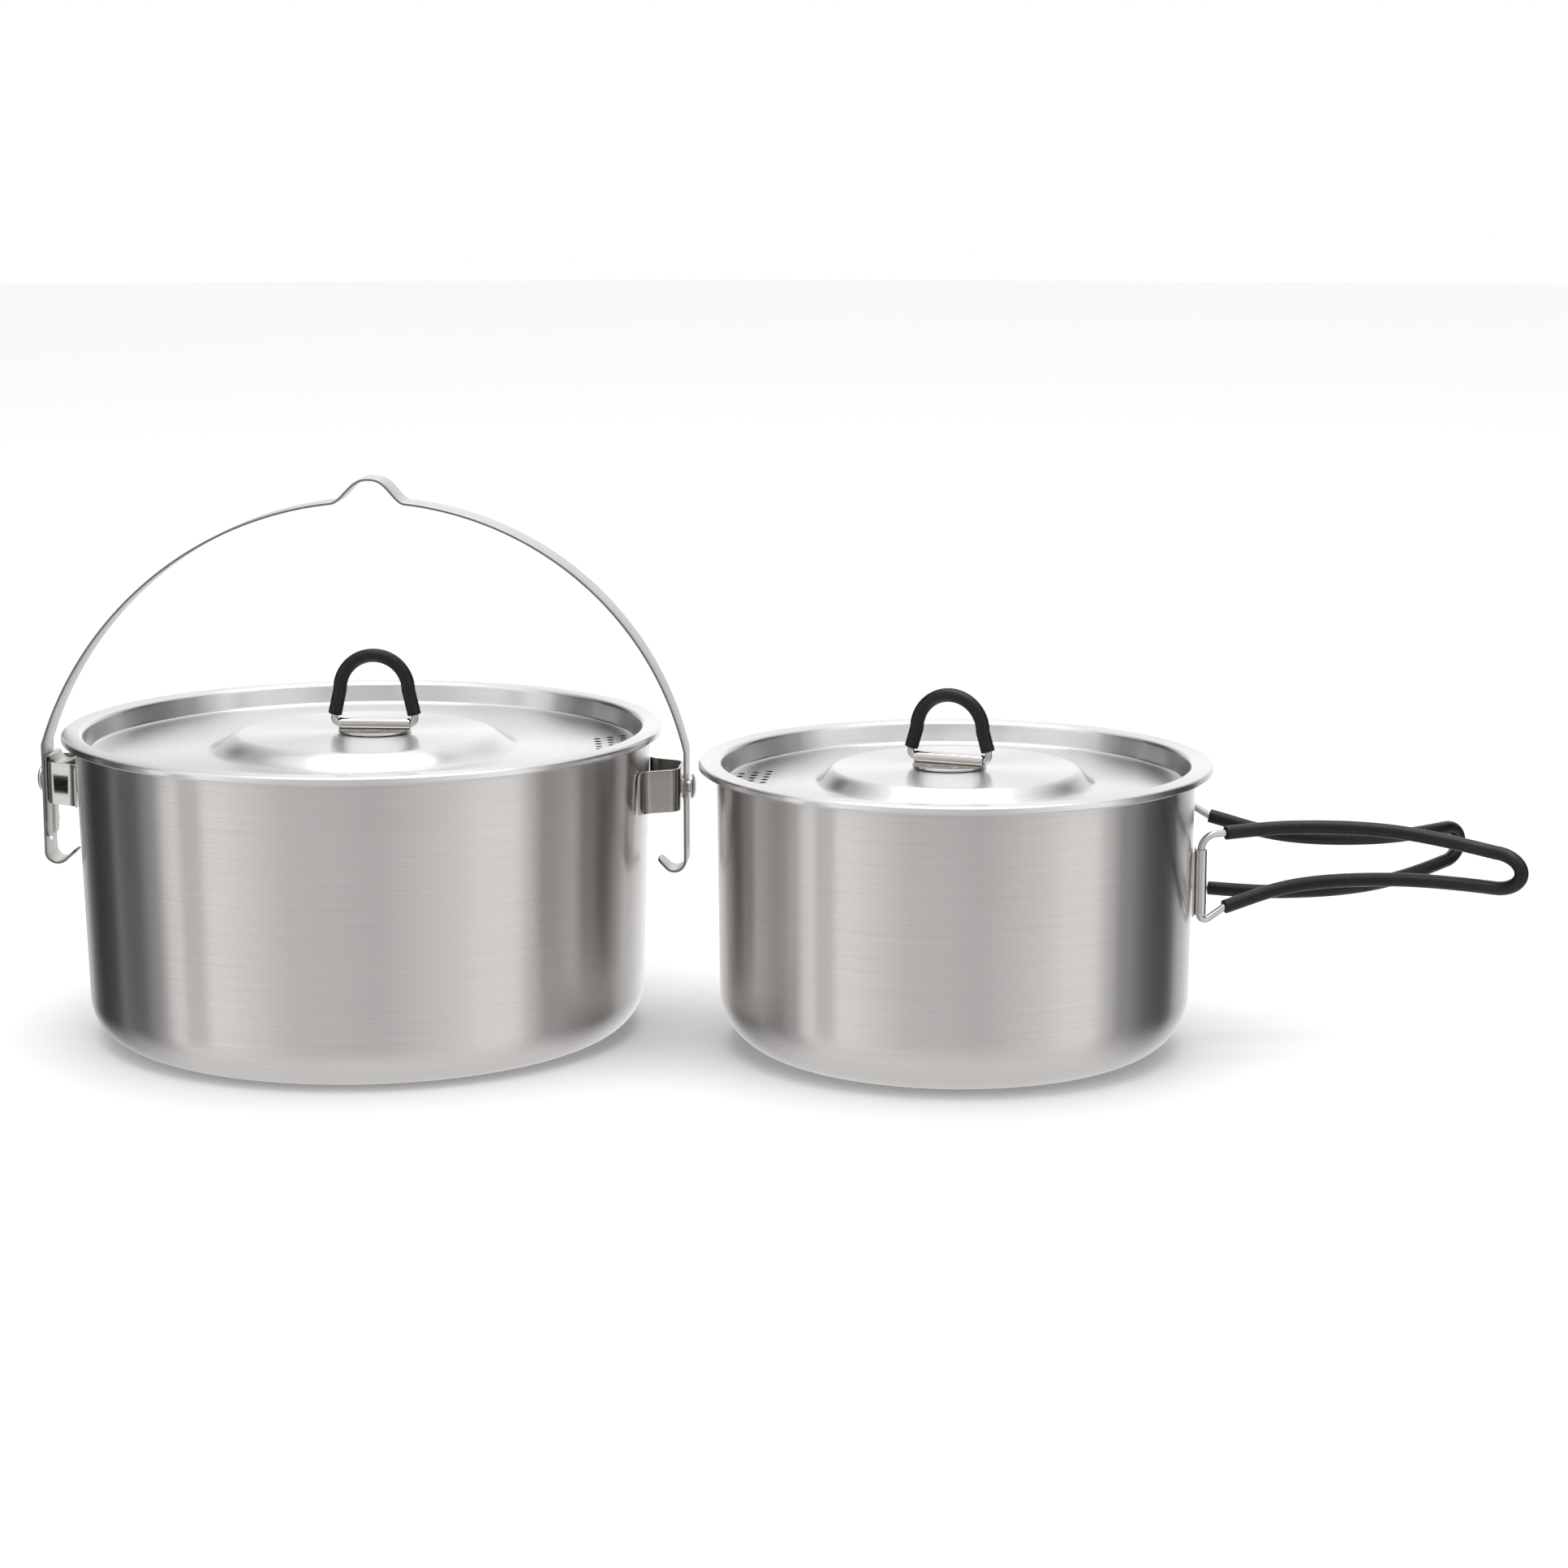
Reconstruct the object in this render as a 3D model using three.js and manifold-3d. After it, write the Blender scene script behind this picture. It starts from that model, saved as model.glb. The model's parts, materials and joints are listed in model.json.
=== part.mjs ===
import * as THREE from 'three';
import { mergeVertices } from 'three/addons/utils/BufferGeometryUtils.js';
import Module from 'manifold-3d';

// Camp cooking set: a large pot with a hooked bail, a small pot with two folding
// wire handles, and for each pot a strainer lid with a folding ring.
// Millimetres, +Z up. The origin is the centre of the large pot's underside, and
// X runs along the bail's pivot axis, towards the small pot.

const wasm = await Module();
wasm.setup();

// ---- driving dimensions ----

const GAP = 0.3;              // clearance between neighbouring pieces
const SHEET = 0.7;            // wall of pots and lids
const ROUND_SEGMENTS = 40;    // facets round a pot or lid
const WIRE_SIDES = 8;         // facets round a wire or sleeve

const LARGE_POT = {
  baseR: 96.9,                // outside radius at the foot of the wall
  topR: 99.6,                 // outside radius under the rim
  cornerR: 15.0,              // outside radius of the base corner
  height: 106.0,              // underside of base to top of rim
};
const SMALL_POT = {
  baseR: 80.8,
  topR: 81.8,
  cornerR: 20.0,
  height: 98.3,
};
const POT_SPACING = 2.2;      // bail's rivet head to the small lid's edge
const SMALL_POT_Y = -11.8;    // small pot stands this far off the bail's axis
const RIM_FLARE_R = 1.5;      // bend from wall to rim
const RIM_CURL_R = 0.8;       // rolled edge of the rim

const LARGE_LID = {
  flangeReach: 4.4,           // flange edge beyond the pot's wall
  plugClearance: 1.7,         // recess wall to the pot's inside
  depth: 7.6,                 // flange top to recess floor
  plateauBaseR: 54.5,
  plateauTopR: 43.0,
  plateauRise: 5.3,
  strainerInset: 9.85,        // foot of the recess wall to the middle of the strainer holes
  strainerAzimuth: 9,
  ringAzimuth: 0,
  ringOffset: 3.7,            // ring welded on a little off centre, towards +X
  ringHeight: 24.0,           // ring axis to the middle of the arch's wire
};
const SMALL_LID = {
  flangeReach: 6.1,
  plugClearance: 0.5,
  depth: 7.8,
  plateauBaseR: 48.2,
  plateauTopR: 41.0,
  plateauRise: 5.3,
  strainerInset: 9.25,
  strainerAzimuth: 178,
  ringAzimuth: -19,
  ringOffset: -2.0,
  ringHeight: 22.0,
};
const RECESS_DRAFT = 1.0;     // recess wall leans in by this much towards the floor
const RECESS_FOOT_R = 1.5;
const RECESS_TOP_R = 1.4;
const LID_CURL_R = 0.75;      // edge of the flange, turned down over the rim
const LID_SKIRT = 2.1;        // depth of the turned-down edge
const STRAINER_HOLE_D = 2.5;
const STRAINER_PITCH = 5.3;
const STRAINER_COLUMNS = 3;
const STRAINER_ROWS = 5;

const WIRE_D = 2.5;           // lid rings and handles
const SLEEVE_D = 4.8;         // black sleeve over the wire
const KNUCKLE_WALL = 0.5;     // sheet rolled round a wire
const WIRE_JOINT = 0.8;       // space between a wire's two butted ends

const RING_KNUCKLE_INSET = 1.7; // knuckle's end inside the ring's legs
const RING_PLATE_D = 25.5;
const RING_PLATE = 0.8;
const RING_KNUCKLE_SINK = 0.35; // how far the ring's knuckle is let into its plate
const RING_ARCH_R = 12.0;
const RING_FOOT_HALF = 14.2;  // legs' half spread at the foot
const RING_FOOT_R = 2.2;
const RING_SLEEVE_START = 3.2;

const PIVOT_DROP = 19.3;      // rim's top to the bail's pivot
const BRACKET_SHEET = 0.8;
const BRACKET_HEIGHT = 14.8;
const BRACKET_REACH = 11.6;   // bracket's outer face beyond the pot's wall
const BRACKET_END_HALF = 10.4; // half width across the bracket's outer corners
const BRACKET_CORNER_R = 5.0;
const BRACKET_ROOT_HALF = 13.6;
const BRACKET_FLANGE_HALF = 19.2;
const BRACKET_BEND = 2.6;     // length of the bend between flange and side

const STOP_SHEET = 0.6;       // stop plate and washer between bracket and bail
const STOP_WIDTH = 15.6;
const STOP_CLEAR = 0.8;       // the plate's bend above the bracket's top edge
const STOP_DIP = 2.4;         // depth of the tab's dip between the bracket's sides
const STOP_TAIL = 20.0;       // prongs reach this far below the pivot
const WASHER_D = 9.0;

const BAIL_SHEET = 0.9;
const BAIL_WIDTH = 14.0;
const BAIL_LEAN = 2.6;        // the bow leans sideways by this angle, towards +X
const BAIL_BOW_EXTRA = 4.2;   // bow radius beyond the arms' half span
const BAIL_BOW_DROP = 18.1;   // bow centre below the pivot
const BAIL_HUMP_RISE = 7.6;
const BAIL_HUMP_HALF = 12.8;
const BAIL_SLOT_TRAVEL = 20.0;
const HOOK_DROP = 25.2;       // pivot to the hook's bend centre
const HOOK_R = 4.0;
const HOOK_TAIL = 4.0;
const HOOK_TURN = 135;

const RIVET_D = 4.4;
const RIVET_HEAD_D = 8.9;
const RIVET_HEAD = 1.8;
const RIVET_STANDOFF = 1.2;   // bail's outer face to the rivet head
const RIVET_TAIL_D = 6.8;
const RIVET_TAIL = 0.9;

const HANDLE_AZIMUTH = 8;     // middle of the two handles, about the small pot
const HANDLE_SPREAD = 12.5;   // each handle's angle from that middle
const HANDLE_DROP = 35.7;     // rim's top to the height that the two handles mirror each other about
const HANDLE_LENGTH = 107.2;  // hinge to the middle of the tip's wire
const HANDLE_CURVE_R = 95.0;  // plan curve, so that it folds round the pot
const HANDLE_UPPER = 12.8;    // straight arm's rise above the mid height
const HANDLE_UPPER_R = 5.0;
const HANDLE_LOWER = 16.7;    // sloping arm's root below the mid height
const HANDLE_LOWER_R = 1.8;
const HANDLE_ROOT_RISE = 3.7; // sloping arm's rise from its root to where the sleeve starts
const HANDLE_WAIST = 4.0;     // sloping arm below the mid height at the waist
const HANDLE_NOSE_TOP = 8.6;
const HANDLE_NOSE_BOTTOM = 3.6;
const HANDLE_NOSE = 8.4;      // length of the rounded tip
const HANDLE_SLEEVE_START = 8.0;
const HANDLE_PLATE = 0.6;
const HANDLE_PLATE_HALF = 6.5;

// ---- derived dimensions ----

const lidFlangeR = (pot, lid) => pot.topR + lid.flangeReach;

// Outside radius of a pot's tapered wall at a height.
function wallRadius(pot, z) {
  const taper = (z - pot.cornerR) / (pot.height - SHEET / 2 - RIM_FLARE_R - pot.cornerR);
  return THREE.MathUtils.lerp(pot.baseR, pot.topR, taper);
}

const KNUCKLE_BORE_R = WIRE_D / 2 + GAP;
const KNUCKLE_R = KNUCKLE_BORE_R + KNUCKLE_WALL;
const KNUCKLE_SINK = 0.25;    // how far a handle's knuckle is let into its plate
const ringAxisRise = GAP + RING_PLATE + KNUCKLE_R - RING_KNUCKLE_SINK;
const pivotZ = LARGE_POT.height - PIVOT_DROP;
const handleMidZ = SMALL_POT.height - HANDLE_DROP;
const bracketWallR = wallRadius(LARGE_POT, pivotZ + BRACKET_HEIGHT / 2) + GAP;
const bracketOuterX = bracketWallR + BRACKET_REACH;
const stopInnerX = bracketOuterX + GAP;
const bailInnerX = stopInnerX + STOP_SHEET + GAP;
const bailCentreX = bailInnerX + BAIL_SHEET / 2;
const bailBowR = bailCentreX + BAIL_BOW_EXTRA;
const bailShoulderRise = Math.sqrt(bailBowR ** 2 - bailCentreX ** 2) - BAIL_BOW_DROP;
const rivetHeadX = bailInnerX + BAIL_SHEET + RIVET_STANDOFF;
const rivetHoleR = RIVET_D / 2 + GAP;
const smallPotX = rivetHeadX + RIVET_HEAD + POT_SPACING + lidFlangeR(SMALL_POT, SMALL_LID);

// ---- materials ----

const brushedSteel = new THREE.MeshStandardMaterial({ color: 0xbdbab5, roughness: 0.34, metalness: 1 });
const satinSteel = new THREE.MeshStandardMaterial({ color: 0xc9c9ca, roughness: 0.28, metalness: 1 });
const polishedSteel = new THREE.MeshStandardMaterial({ color: 0xb5b3ae, roughness: 0.14, metalness: 1 });
const wireSteel = new THREE.MeshStandardMaterial({ color: 0xd0d0ce, roughness: 0.18, metalness: 1 });
const blackSleeve = new THREE.MeshStandardMaterial({ color: 0x19191b, roughness: 0.5, metalness: 0 });

const set = new THREE.Group();

// ---- outlines ----

const radians = THREE.MathUtils.degToRad;

// Points on an arc, from one angle to another in degrees, both ends included.
function arcPoints(x, y, r, from, to, steps) {
  const points = [];
  for (let i = 0; i <= steps; i++) {
    const a = radians(from + ((to - from) * i) / steps);
    points.push(new THREE.Vector2(x + r * Math.cos(a), y + r * Math.sin(a)));
  }
  return points;
}

// Unit normal on the right of the way from a to b.
function rightNormal(a, b) {
  const d = new THREE.Vector2().subVectors(b, a).normalize();
  return new THREE.Vector2(d.y, -d.x);
}

// Closed outline of a sheet bent along a centre line: its right side, then its left.
function sheetOutline(centre, thickness) {
  const right = [];
  const left = [];
  for (let i = 0; i < centre.length; i++) {
    const before = centre[Math.max(i - 1, 0)];
    const after = centre[Math.min(i + 1, centre.length - 1)];
    const n1 = i > 0 ? rightNormal(before, centre[i]) : rightNormal(centre[i], after);
    const n2 = i < centre.length - 1 ? rightNormal(centre[i], after) : n1;
    const mitre = new THREE.Vector2().addVectors(n1, n2).normalize();
    mitre.multiplyScalar(thickness / 2 / mitre.dot(n1));
    right.push(new THREE.Vector2().addVectors(centre[i], mitre));
    left.unshift(new THREE.Vector2().subVectors(centre[i], mitre));
  }
  return [...right, ...left];
}

// ---- solids ----

// Welds a geometry's shared vertices and drops triangles that have no area.
function welded(geometry) {
  geometry.deleteAttribute('normal');
  geometry.deleteAttribute('uv');
  const merged = mergeVertices(geometry, 1e-4);
  const index = merged.index.array;
  const kept = [];
  for (let i = 0; i < index.length; i += 3) {
    const [a, b, c] = [index[i], index[i + 1], index[i + 2]];
    if (a !== b && b !== c && c !== a) kept.push(a, b, c);
  }
  merged.setIndex(kept);
  return merged;
}

function toSolid(geometry) {
  const g = welded(geometry);
  return new wasm.Manifold(new wasm.Mesh({
    numProp: 3,
    vertProperties: new Float32Array(g.attributes.position.array),
    triVerts: new Uint32Array(g.index.array),
  }));
}

function toGeometry(solid) {
  const mesh = solid.getMesh();
  const geometry = new THREE.BufferGeometry();
  geometry.setAttribute('position', new THREE.BufferAttribute(new Float32Array(mesh.vertProperties), 3));
  geometry.setIndex(new THREE.BufferAttribute(new Uint32Array(mesh.triVerts), 1));
  geometry.computeVertexNormals();
  return geometry;
}

// Turns a profile of radius and height about Z.
function turned(profile, segments = ROUND_SEGMENTS) {
  return new THREE.LatheGeometry(profile, segments).rotateX(Math.PI / 2);
}

// Extrudes an outline along Z, from z = low to z = high.
function extruded(outline, low, high, holes = []) {
  const shape = new THREE.Shape(outline);
  shape.holes = holes.map((hole) => new THREE.Path(hole));
  const geometry = new THREE.ExtrudeGeometry(shape, { depth: high - low, bevelEnabled: false });
  return geometry.translate(0, 0, low);
}

// The same outline, drawn in X and Z and extruded across Y, half to each side.
function extrudedAcross(outline, width) {
  return extruded(outline, -width / 2, width / 2).rotateX(Math.PI / 2);
}

// Round bar along X, between two X values.
function barAlongX(r, x0, x1, z, sides = 20) {
  const bar = new THREE.CylinderGeometry(r, r, x1 - x0, sides);
  return bar.rotateZ(Math.PI / 2).translate((x0 + x1) / 2, 0, z);
}

// A path through given points, which a section follows point by point.
class BentPath extends THREE.Curve {
  constructor(points) {
    super();
    this.points = points;
  }

  getPoint(t, target = new THREE.Vector3()) {
    const place = Math.min(Math.max(t, 0), 1) * (this.points.length - 1);
    const i = Math.min(Math.floor(place), this.points.length - 2);
    return target.lerpVectors(this.points[i], this.points[i + 1], place - i);
  }

  getPointAt(t, target) {
    return this.getPoint(t, target);
  }

  getTangentAt(t, target) {
    return this.getTangent(t, target);
  }
}

// Round wire along points; with a bore it is a sleeve.
function wireAlong(points, outerR, sides, boreR = 0) {
  const section = new THREE.Shape(arcPoints(0, 0, outerR, 0, 360 - 360 / sides, sides - 1));
  if (boreR > 0) {
    section.holes.push(new THREE.Path(arcPoints(0, 0, boreR, 0, 360 - 360 / sides, sides - 1)));
  }
  return new THREE.ExtrudeGeometry(section, {
    steps: points.length - 1,
    bevelEnabled: false,
    extrudePath: new BentPath(points),
  });
}

function addPart(name, geometry, material, x = 0, y = 0, turn = 0) {
  const mesh = new THREE.Mesh(geometry, material);
  mesh.name = name;
  mesh.position.set(x, y, 0);
  mesh.rotation.z = radians(turn);
  set.add(mesh);
}

// ---- pots ----

// Wall with a rounded base corner and a rim that flares out and curls down.
function potProfile(pot, lid) {
  const half = SHEET / 2;
  const wallX = pot.topR - half;
  const rimZ = pot.height - half;
  const curlX = lidFlangeR(pot, lid) - SHEET - GAP - half - RIM_CURL_R;
  const cornerX = pot.baseR - pot.cornerR;
  return sheetOutline([
    new THREE.Vector2(0, half),
    ...arcPoints(cornerX, pot.cornerR, pot.cornerR - half, -90, 0, 5),
    ...arcPoints(wallX + RIM_FLARE_R, rimZ - RIM_FLARE_R, RIM_FLARE_R, 180, 90, 2),
    ...arcPoints(curlX, rimZ - RIM_CURL_R, RIM_CURL_R, 90, -45, 3),
  ], SHEET);
}

addPart('large_pot_body', welded(turned(potProfile(LARGE_POT, LARGE_LID))), brushedSteel);
addPart('small_pot_body', welded(turned(potProfile(SMALL_POT, SMALL_LID))), brushedSteel,
  smallPotX, SMALL_POT_Y);

// ---- lids ----

function lidLevels(pot, lid) {
  const top = pot.height + GAP + SHEET;
  const floor = top - lid.depth;
  return { top, floor, plateau: floor + lid.plateauRise };
}

function recessWall(pot, lid) {
  const wallTopX = pot.topR - SHEET - lid.plugClearance - SHEET / 2;
  return { wallTopX, wallFootX: wallTopX - RECESS_DRAFT };
}

// Raised middle, flat floor, near-upright recess wall, and a flange over the rim.
function lidProfile(pot, lid) {
  const half = SHEET / 2;
  const { top, floor, plateau } = lidLevels(pot, lid);
  const { wallTopX, wallFootX } = recessWall(pot, lid);
  const edgeX = lidFlangeR(pot, lid) - half;
  const centre = [new THREE.Vector2(0, plateau - half)];
  const shoulderSteps = 4;
  for (let i = 0; i <= shoulderSteps; i++) {
    const u = i / shoulderSteps;
    const r = THREE.MathUtils.lerp(lid.plateauTopR, lid.plateauBaseR, u);
    const drop = lid.plateauRise * THREE.MathUtils.smoothstep(u, 0, 1);
    centre.push(new THREE.Vector2(r, plateau - half - drop));
  }
  centre.push(
    ...arcPoints(wallFootX - RECESS_FOOT_R, floor - half + RECESS_FOOT_R, RECESS_FOOT_R, -90, 0, 2),
    ...arcPoints(wallTopX + RECESS_TOP_R, top - half - RECESS_TOP_R, RECESS_TOP_R, 180, 90, 2),
    ...arcPoints(edgeX - LID_CURL_R, top - half - LID_CURL_R, LID_CURL_R, 90, 0, 2),
    new THREE.Vector2(edgeX, top - LID_SKIRT),
  );
  return sheetOutline(centre, SHEET);
}

// A block of holes in staggered columns; X points away from the lid's centre.
function strainerHoles(pot, lid, low, high) {
  const middleR = recessWall(pot, lid).wallFootX - lid.strainerInset;
  const columnSpacing = STRAINER_PITCH * Math.sin(radians(60));
  const holes = [];
  for (let c = 0; c < STRAINER_COLUMNS; c++) {
    for (let r = 0; r < STRAINER_ROWS; r++) {
      const column = c - (STRAINER_COLUMNS - 1) / 2;
      const row = r - (STRAINER_ROWS - 1) / 2;
      const hole = new THREE.CylinderGeometry(STRAINER_HOLE_D / 2, STRAINER_HOLE_D / 2, high - low, 8);
      hole.rotateX(Math.PI / 2);
      hole.translate(middleR + column * columnSpacing, (row + column / 2) * STRAINER_PITCH,
        (low + high) / 2);
      hole.rotateZ(radians(lid.strainerAzimuth));
      holes.push(toSolid(hole));
    }
  }
  return holes;
}

function lidShell(pot, lid) {
  const { floor } = lidLevels(pot, lid);
  let shell = toSolid(turned(lidProfile(pot, lid)));
  for (const hole of strainerHoles(pot, lid, floor - 2 * SHEET, floor + SHEET)) {
    shell = shell.subtract(hole);
  }
  return toGeometry(shell);
}

// Round base plate with a knuckle rolled across it, in which the ring turns.
function ringHolder(plateau) {
  const plateLow = plateau + GAP;
  const plate = new THREE.CylinderGeometry(RING_PLATE_D / 2, RING_PLATE_D / 2, RING_PLATE, 32);
  plate.rotateX(Math.PI / 2).translate(0, 0, plateLow + RING_PLATE / 2);
  const axisZ = plateau + ringAxisRise;
  const half = RING_FOOT_HALF - RING_KNUCKLE_INSET;
  const knuckle = toSolid(barAlongX(KNUCKLE_R, -half, half, axisZ));
  const bore = toSolid(barAlongX(KNUCKLE_BORE_R, -half - 1, half + 1, axisZ));
  return toGeometry(toSolid(plate).add(knuckle).subtract(bore));
}

// The right half of the ring's centre line, from the middle of the knuckle to the arch's top.
function ringHalf(lid) {
  const archZ = lid.ringHeight - RING_ARCH_R;
  const footX = RING_FOOT_HALF - RING_FOOT_R;
  return {
    foot: [
      new THREE.Vector2(WIRE_JOINT / 2, 0),
      new THREE.Vector2(footX / 2, 0),
      ...arcPoints(footX, RING_FOOT_R, RING_FOOT_R, -90, 0, 4),
    ],
    sleeved: [
      new THREE.Vector2(RING_FOOT_HALF - 0.2, RING_SLEEVE_START),
      new THREE.Vector2((RING_FOOT_HALF + RING_ARCH_R) / 2, (RING_SLEEVE_START + archZ) / 2),
      ...arcPoints(0, archZ, RING_ARCH_R, 0, 90, 7),
    ],
  };
}

const mirrored = (points) => points.map((p) => new THREE.Vector2(-p.x, p.y)).reverse();
const standing = (points, z) => points.map((p) => new THREE.Vector3(p.x, 0, p.y + z));

function addLid(prefix, pot, lid, x, y) {
  const { plateau } = lidLevels(pot, lid);
  const axisZ = plateau + ringAxisRise;
  const { foot, sleeved } = ringHalf(lid);
  const ringX = x + lid.ringOffset;
  const arch = [...sleeved, ...mirrored(sleeved).slice(1)];
  const loop = [...foot, ...arch, ...mirrored(foot)];
  addPart(`${prefix}_lid`, lidShell(pot, lid), satinSteel, x, y);
  addPart(`${prefix}_lid_ring_holder`, ringHolder(plateau), polishedSteel, ringX, y, lid.ringAzimuth);
  addPart(`${prefix}_lid_ring`, wireAlong(standing(loop, axisZ), WIRE_D / 2, WIRE_SIDES), wireSteel,
    ringX, y, lid.ringAzimuth);
  addPart(`${prefix}_lid_ring_sleeve`,
    wireAlong(standing(arch, axisZ), SLEEVE_D / 2, WIRE_SIDES, KNUCKLE_BORE_R), blackSleeve,
    ringX, y, lid.ringAzimuth);
}

addLid('large', LARGE_POT, LARGE_LID, 0, 0);
addLid('small', SMALL_POT, SMALL_LID, smallPotX, SMALL_POT_Y);

// ---- bail brackets, rivets, washer and stop plate ----

// Half of the bracket's plan centre line, from the flange's tip to the middle of its end.
function bracketHalf() {
  const half = BRACKET_SHEET / 2;
  const wallR = bracketWallR + half;
  const tip = -Math.asin(BRACKET_FLANGE_HALF / wallR) * THREE.MathUtils.RAD2DEG;
  const root = -Math.asin((BRACKET_ROOT_HALF + BRACKET_BEND) / wallR) * THREE.MathUtils.RAD2DEG;
  const cornerX = bracketOuterX - BRACKET_CORNER_R;
  const cornerY = -(BRACKET_END_HALF - BRACKET_CORNER_R + half);
  return [
    ...arcPoints(0, 0, wallR, tip, root, 2),
    new THREE.Vector2(wallR - 0.6, -BRACKET_ROOT_HALF - 0.9),
    new THREE.Vector2(wallR + 0.4, -BRACKET_ROOT_HALF + 0.4),
    ...arcPoints(cornerX, cornerY, BRACKET_CORNER_R - half, -60, 0, 4),
  ];
}

function bailBracket() {
  const lower = bracketHalf();
  const upper = lower.map((p) => new THREE.Vector2(p.x, -p.y)).reverse();
  const outline = sheetOutline([...lower, ...upper], BRACKET_SHEET);
  const strap = toSolid(extruded(outline, pivotZ - BRACKET_HEIGHT / 2, pivotZ + BRACKET_HEIGHT / 2));
  const hole = toSolid(barAlongX(rivetHoleR, bracketOuterX - 3, bracketOuterX + 1, pivotZ));
  return toGeometry(strap.subtract(hole));
}

// Domed head outside, shank through the bail's slot, peened tail inside the bracket.
function rivet() {
  const tailEnd = bracketOuterX - BRACKET_SHEET - GAP;
  const headR = RIVET_HEAD_D / 2;
  const profile = [
    new THREE.Vector2(0, tailEnd - RIVET_TAIL),
    new THREE.Vector2(RIVET_TAIL_D / 2, tailEnd - RIVET_TAIL),
    new THREE.Vector2(RIVET_TAIL_D / 2, tailEnd),
    new THREE.Vector2(RIVET_D / 2, tailEnd),
    new THREE.Vector2(RIVET_D / 2, rivetHeadX),
    new THREE.Vector2(headR, rivetHeadX),
    new THREE.Vector2(headR, rivetHeadX + 0.4),
    new THREE.Vector2(headR * 0.7, rivetHeadX + RIVET_HEAD * 0.75),
    new THREE.Vector2(0, rivetHeadX + RIVET_HEAD),
  ];
  const upright = turned(profile, 16);
  return welded(upright.rotateY(Math.PI / 2).translate(0, 0, pivotZ));
}

function washer() {
  const ring = extruded(arcPoints(0, 0, WASHER_D / 2, 0, 345, 23), stopInnerX, stopInnerX + STOP_SHEET,
    [arcPoints(0, 0, rivetHoleR, 0, 345, 23)]);
  return welded(ring.rotateY(Math.PI / 2).translate(0, 0, pivotZ));
}

// Plate between the left bracket and the bail: two prongs below, and above a tab that
// turns in over the bracket's end and dips between its sides.
function stopPlate() {
  const x = stopInnerX + STOP_SHEET / 2;
  const turnR = x - (bracketOuterX - BRACKET_SHEET - GAP - STOP_SHEET / 2);
  const turnZ = pivotZ + BRACKET_HEIGHT / 2 + STOP_CLEAR;
  const tabX = x - turnR;
  const endX = bracketWallR + GAP + STOP_SHEET;
  const dip = (share, depth) => new THREE.Vector2(
    THREE.MathUtils.lerp(tabX, endX, share),
    turnZ - STOP_DIP * depth,
  );
  const centre = [
    new THREE.Vector2(x, pivotZ - STOP_TAIL),
    ...arcPoints(x - turnR / 2, turnZ, turnR / 2, 0, 180, 6),
    dip(0.1, 0.6),
    dip(0.3, 1),
    dip(0.6, 0.7),
    dip(1, -0.1),
  ];
  const plate = toSolid(extrudedAcross(sheetOutline(centre, STOP_SHEET), STOP_WIDTH));
  const hole = toSolid(barAlongX(rivetHoleR, stopInnerX - 1, stopInnerX + STOP_SHEET + 1, pivotZ));
  const fork = new THREE.BoxGeometry(STOP_SHEET + 2, 2 * rivetHoleR, STOP_TAIL + 1);
  fork.translate(x, 0, pivotZ - (STOP_TAIL + 1) / 2);
  return toGeometry(plate.subtract(hole).subtract(toSolid(fork)));
}

addPart('bail_bracket_right', bailBracket(), polishedSteel);
addPart('bail_bracket_left', bailBracket(), polishedSteel, 0, 0, 180);
addPart('bail_rivet_right', rivet(), polishedSteel);
addPart('bail_rivet_left', rivet(), polishedSteel, 0, 0, 180);
addPart('bail_washer', washer(), wireSteel);
addPart('bail_stop_plate', stopPlate(), wireSteel, 0, 0, 180);

// ---- bail ----

// Right half of the bail's centre line, from the hook's tip up to the middle of the bow.
function bailHalf() {
  const bowR = bailBowR;
  const bowZ = pivotZ - BAIL_BOW_DROP;
  const hookX = bailCentreX - HOOK_R;
  const hookZ = pivotZ - HOOK_DROP;
  const hook = arcPoints(hookX, hookZ, HOOK_R, -HOOK_TURN, 0, 7);
  const tailAngle = radians(-HOOK_TURN);
  const tip = new THREE.Vector2(
    hook[0].x + HOOK_TAIL * Math.sin(tailAngle),
    hook[0].y - HOOK_TAIL * Math.cos(tailAngle),
  );
  const shoulder = Math.acos(bailCentreX / bowR) * THREE.MathUtils.RAD2DEG;
  const humpEdge = Math.acos(BAIL_HUMP_HALF / bowR) * THREE.MathUtils.RAD2DEG;
  const bow = arcPoints(0, bowZ, bowR, shoulder, humpEdge, 14);
  const hump = [];
  const humpSteps = 7;
  for (let i = 1; i <= humpSteps; i++) {
    const x = BAIL_HUMP_HALF * (1 - i / humpSteps);
    const lift = BAIL_HUMP_RISE * Math.cos((Math.PI / 2) * (x / BAIL_HUMP_HALF)) ** 2;
    hump.push(new THREE.Vector2(x, bowZ + Math.sqrt(bowR * bowR - x * x) + lift));
  }
  return [tip, ...hook, ...bow, ...hump];
}

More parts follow.
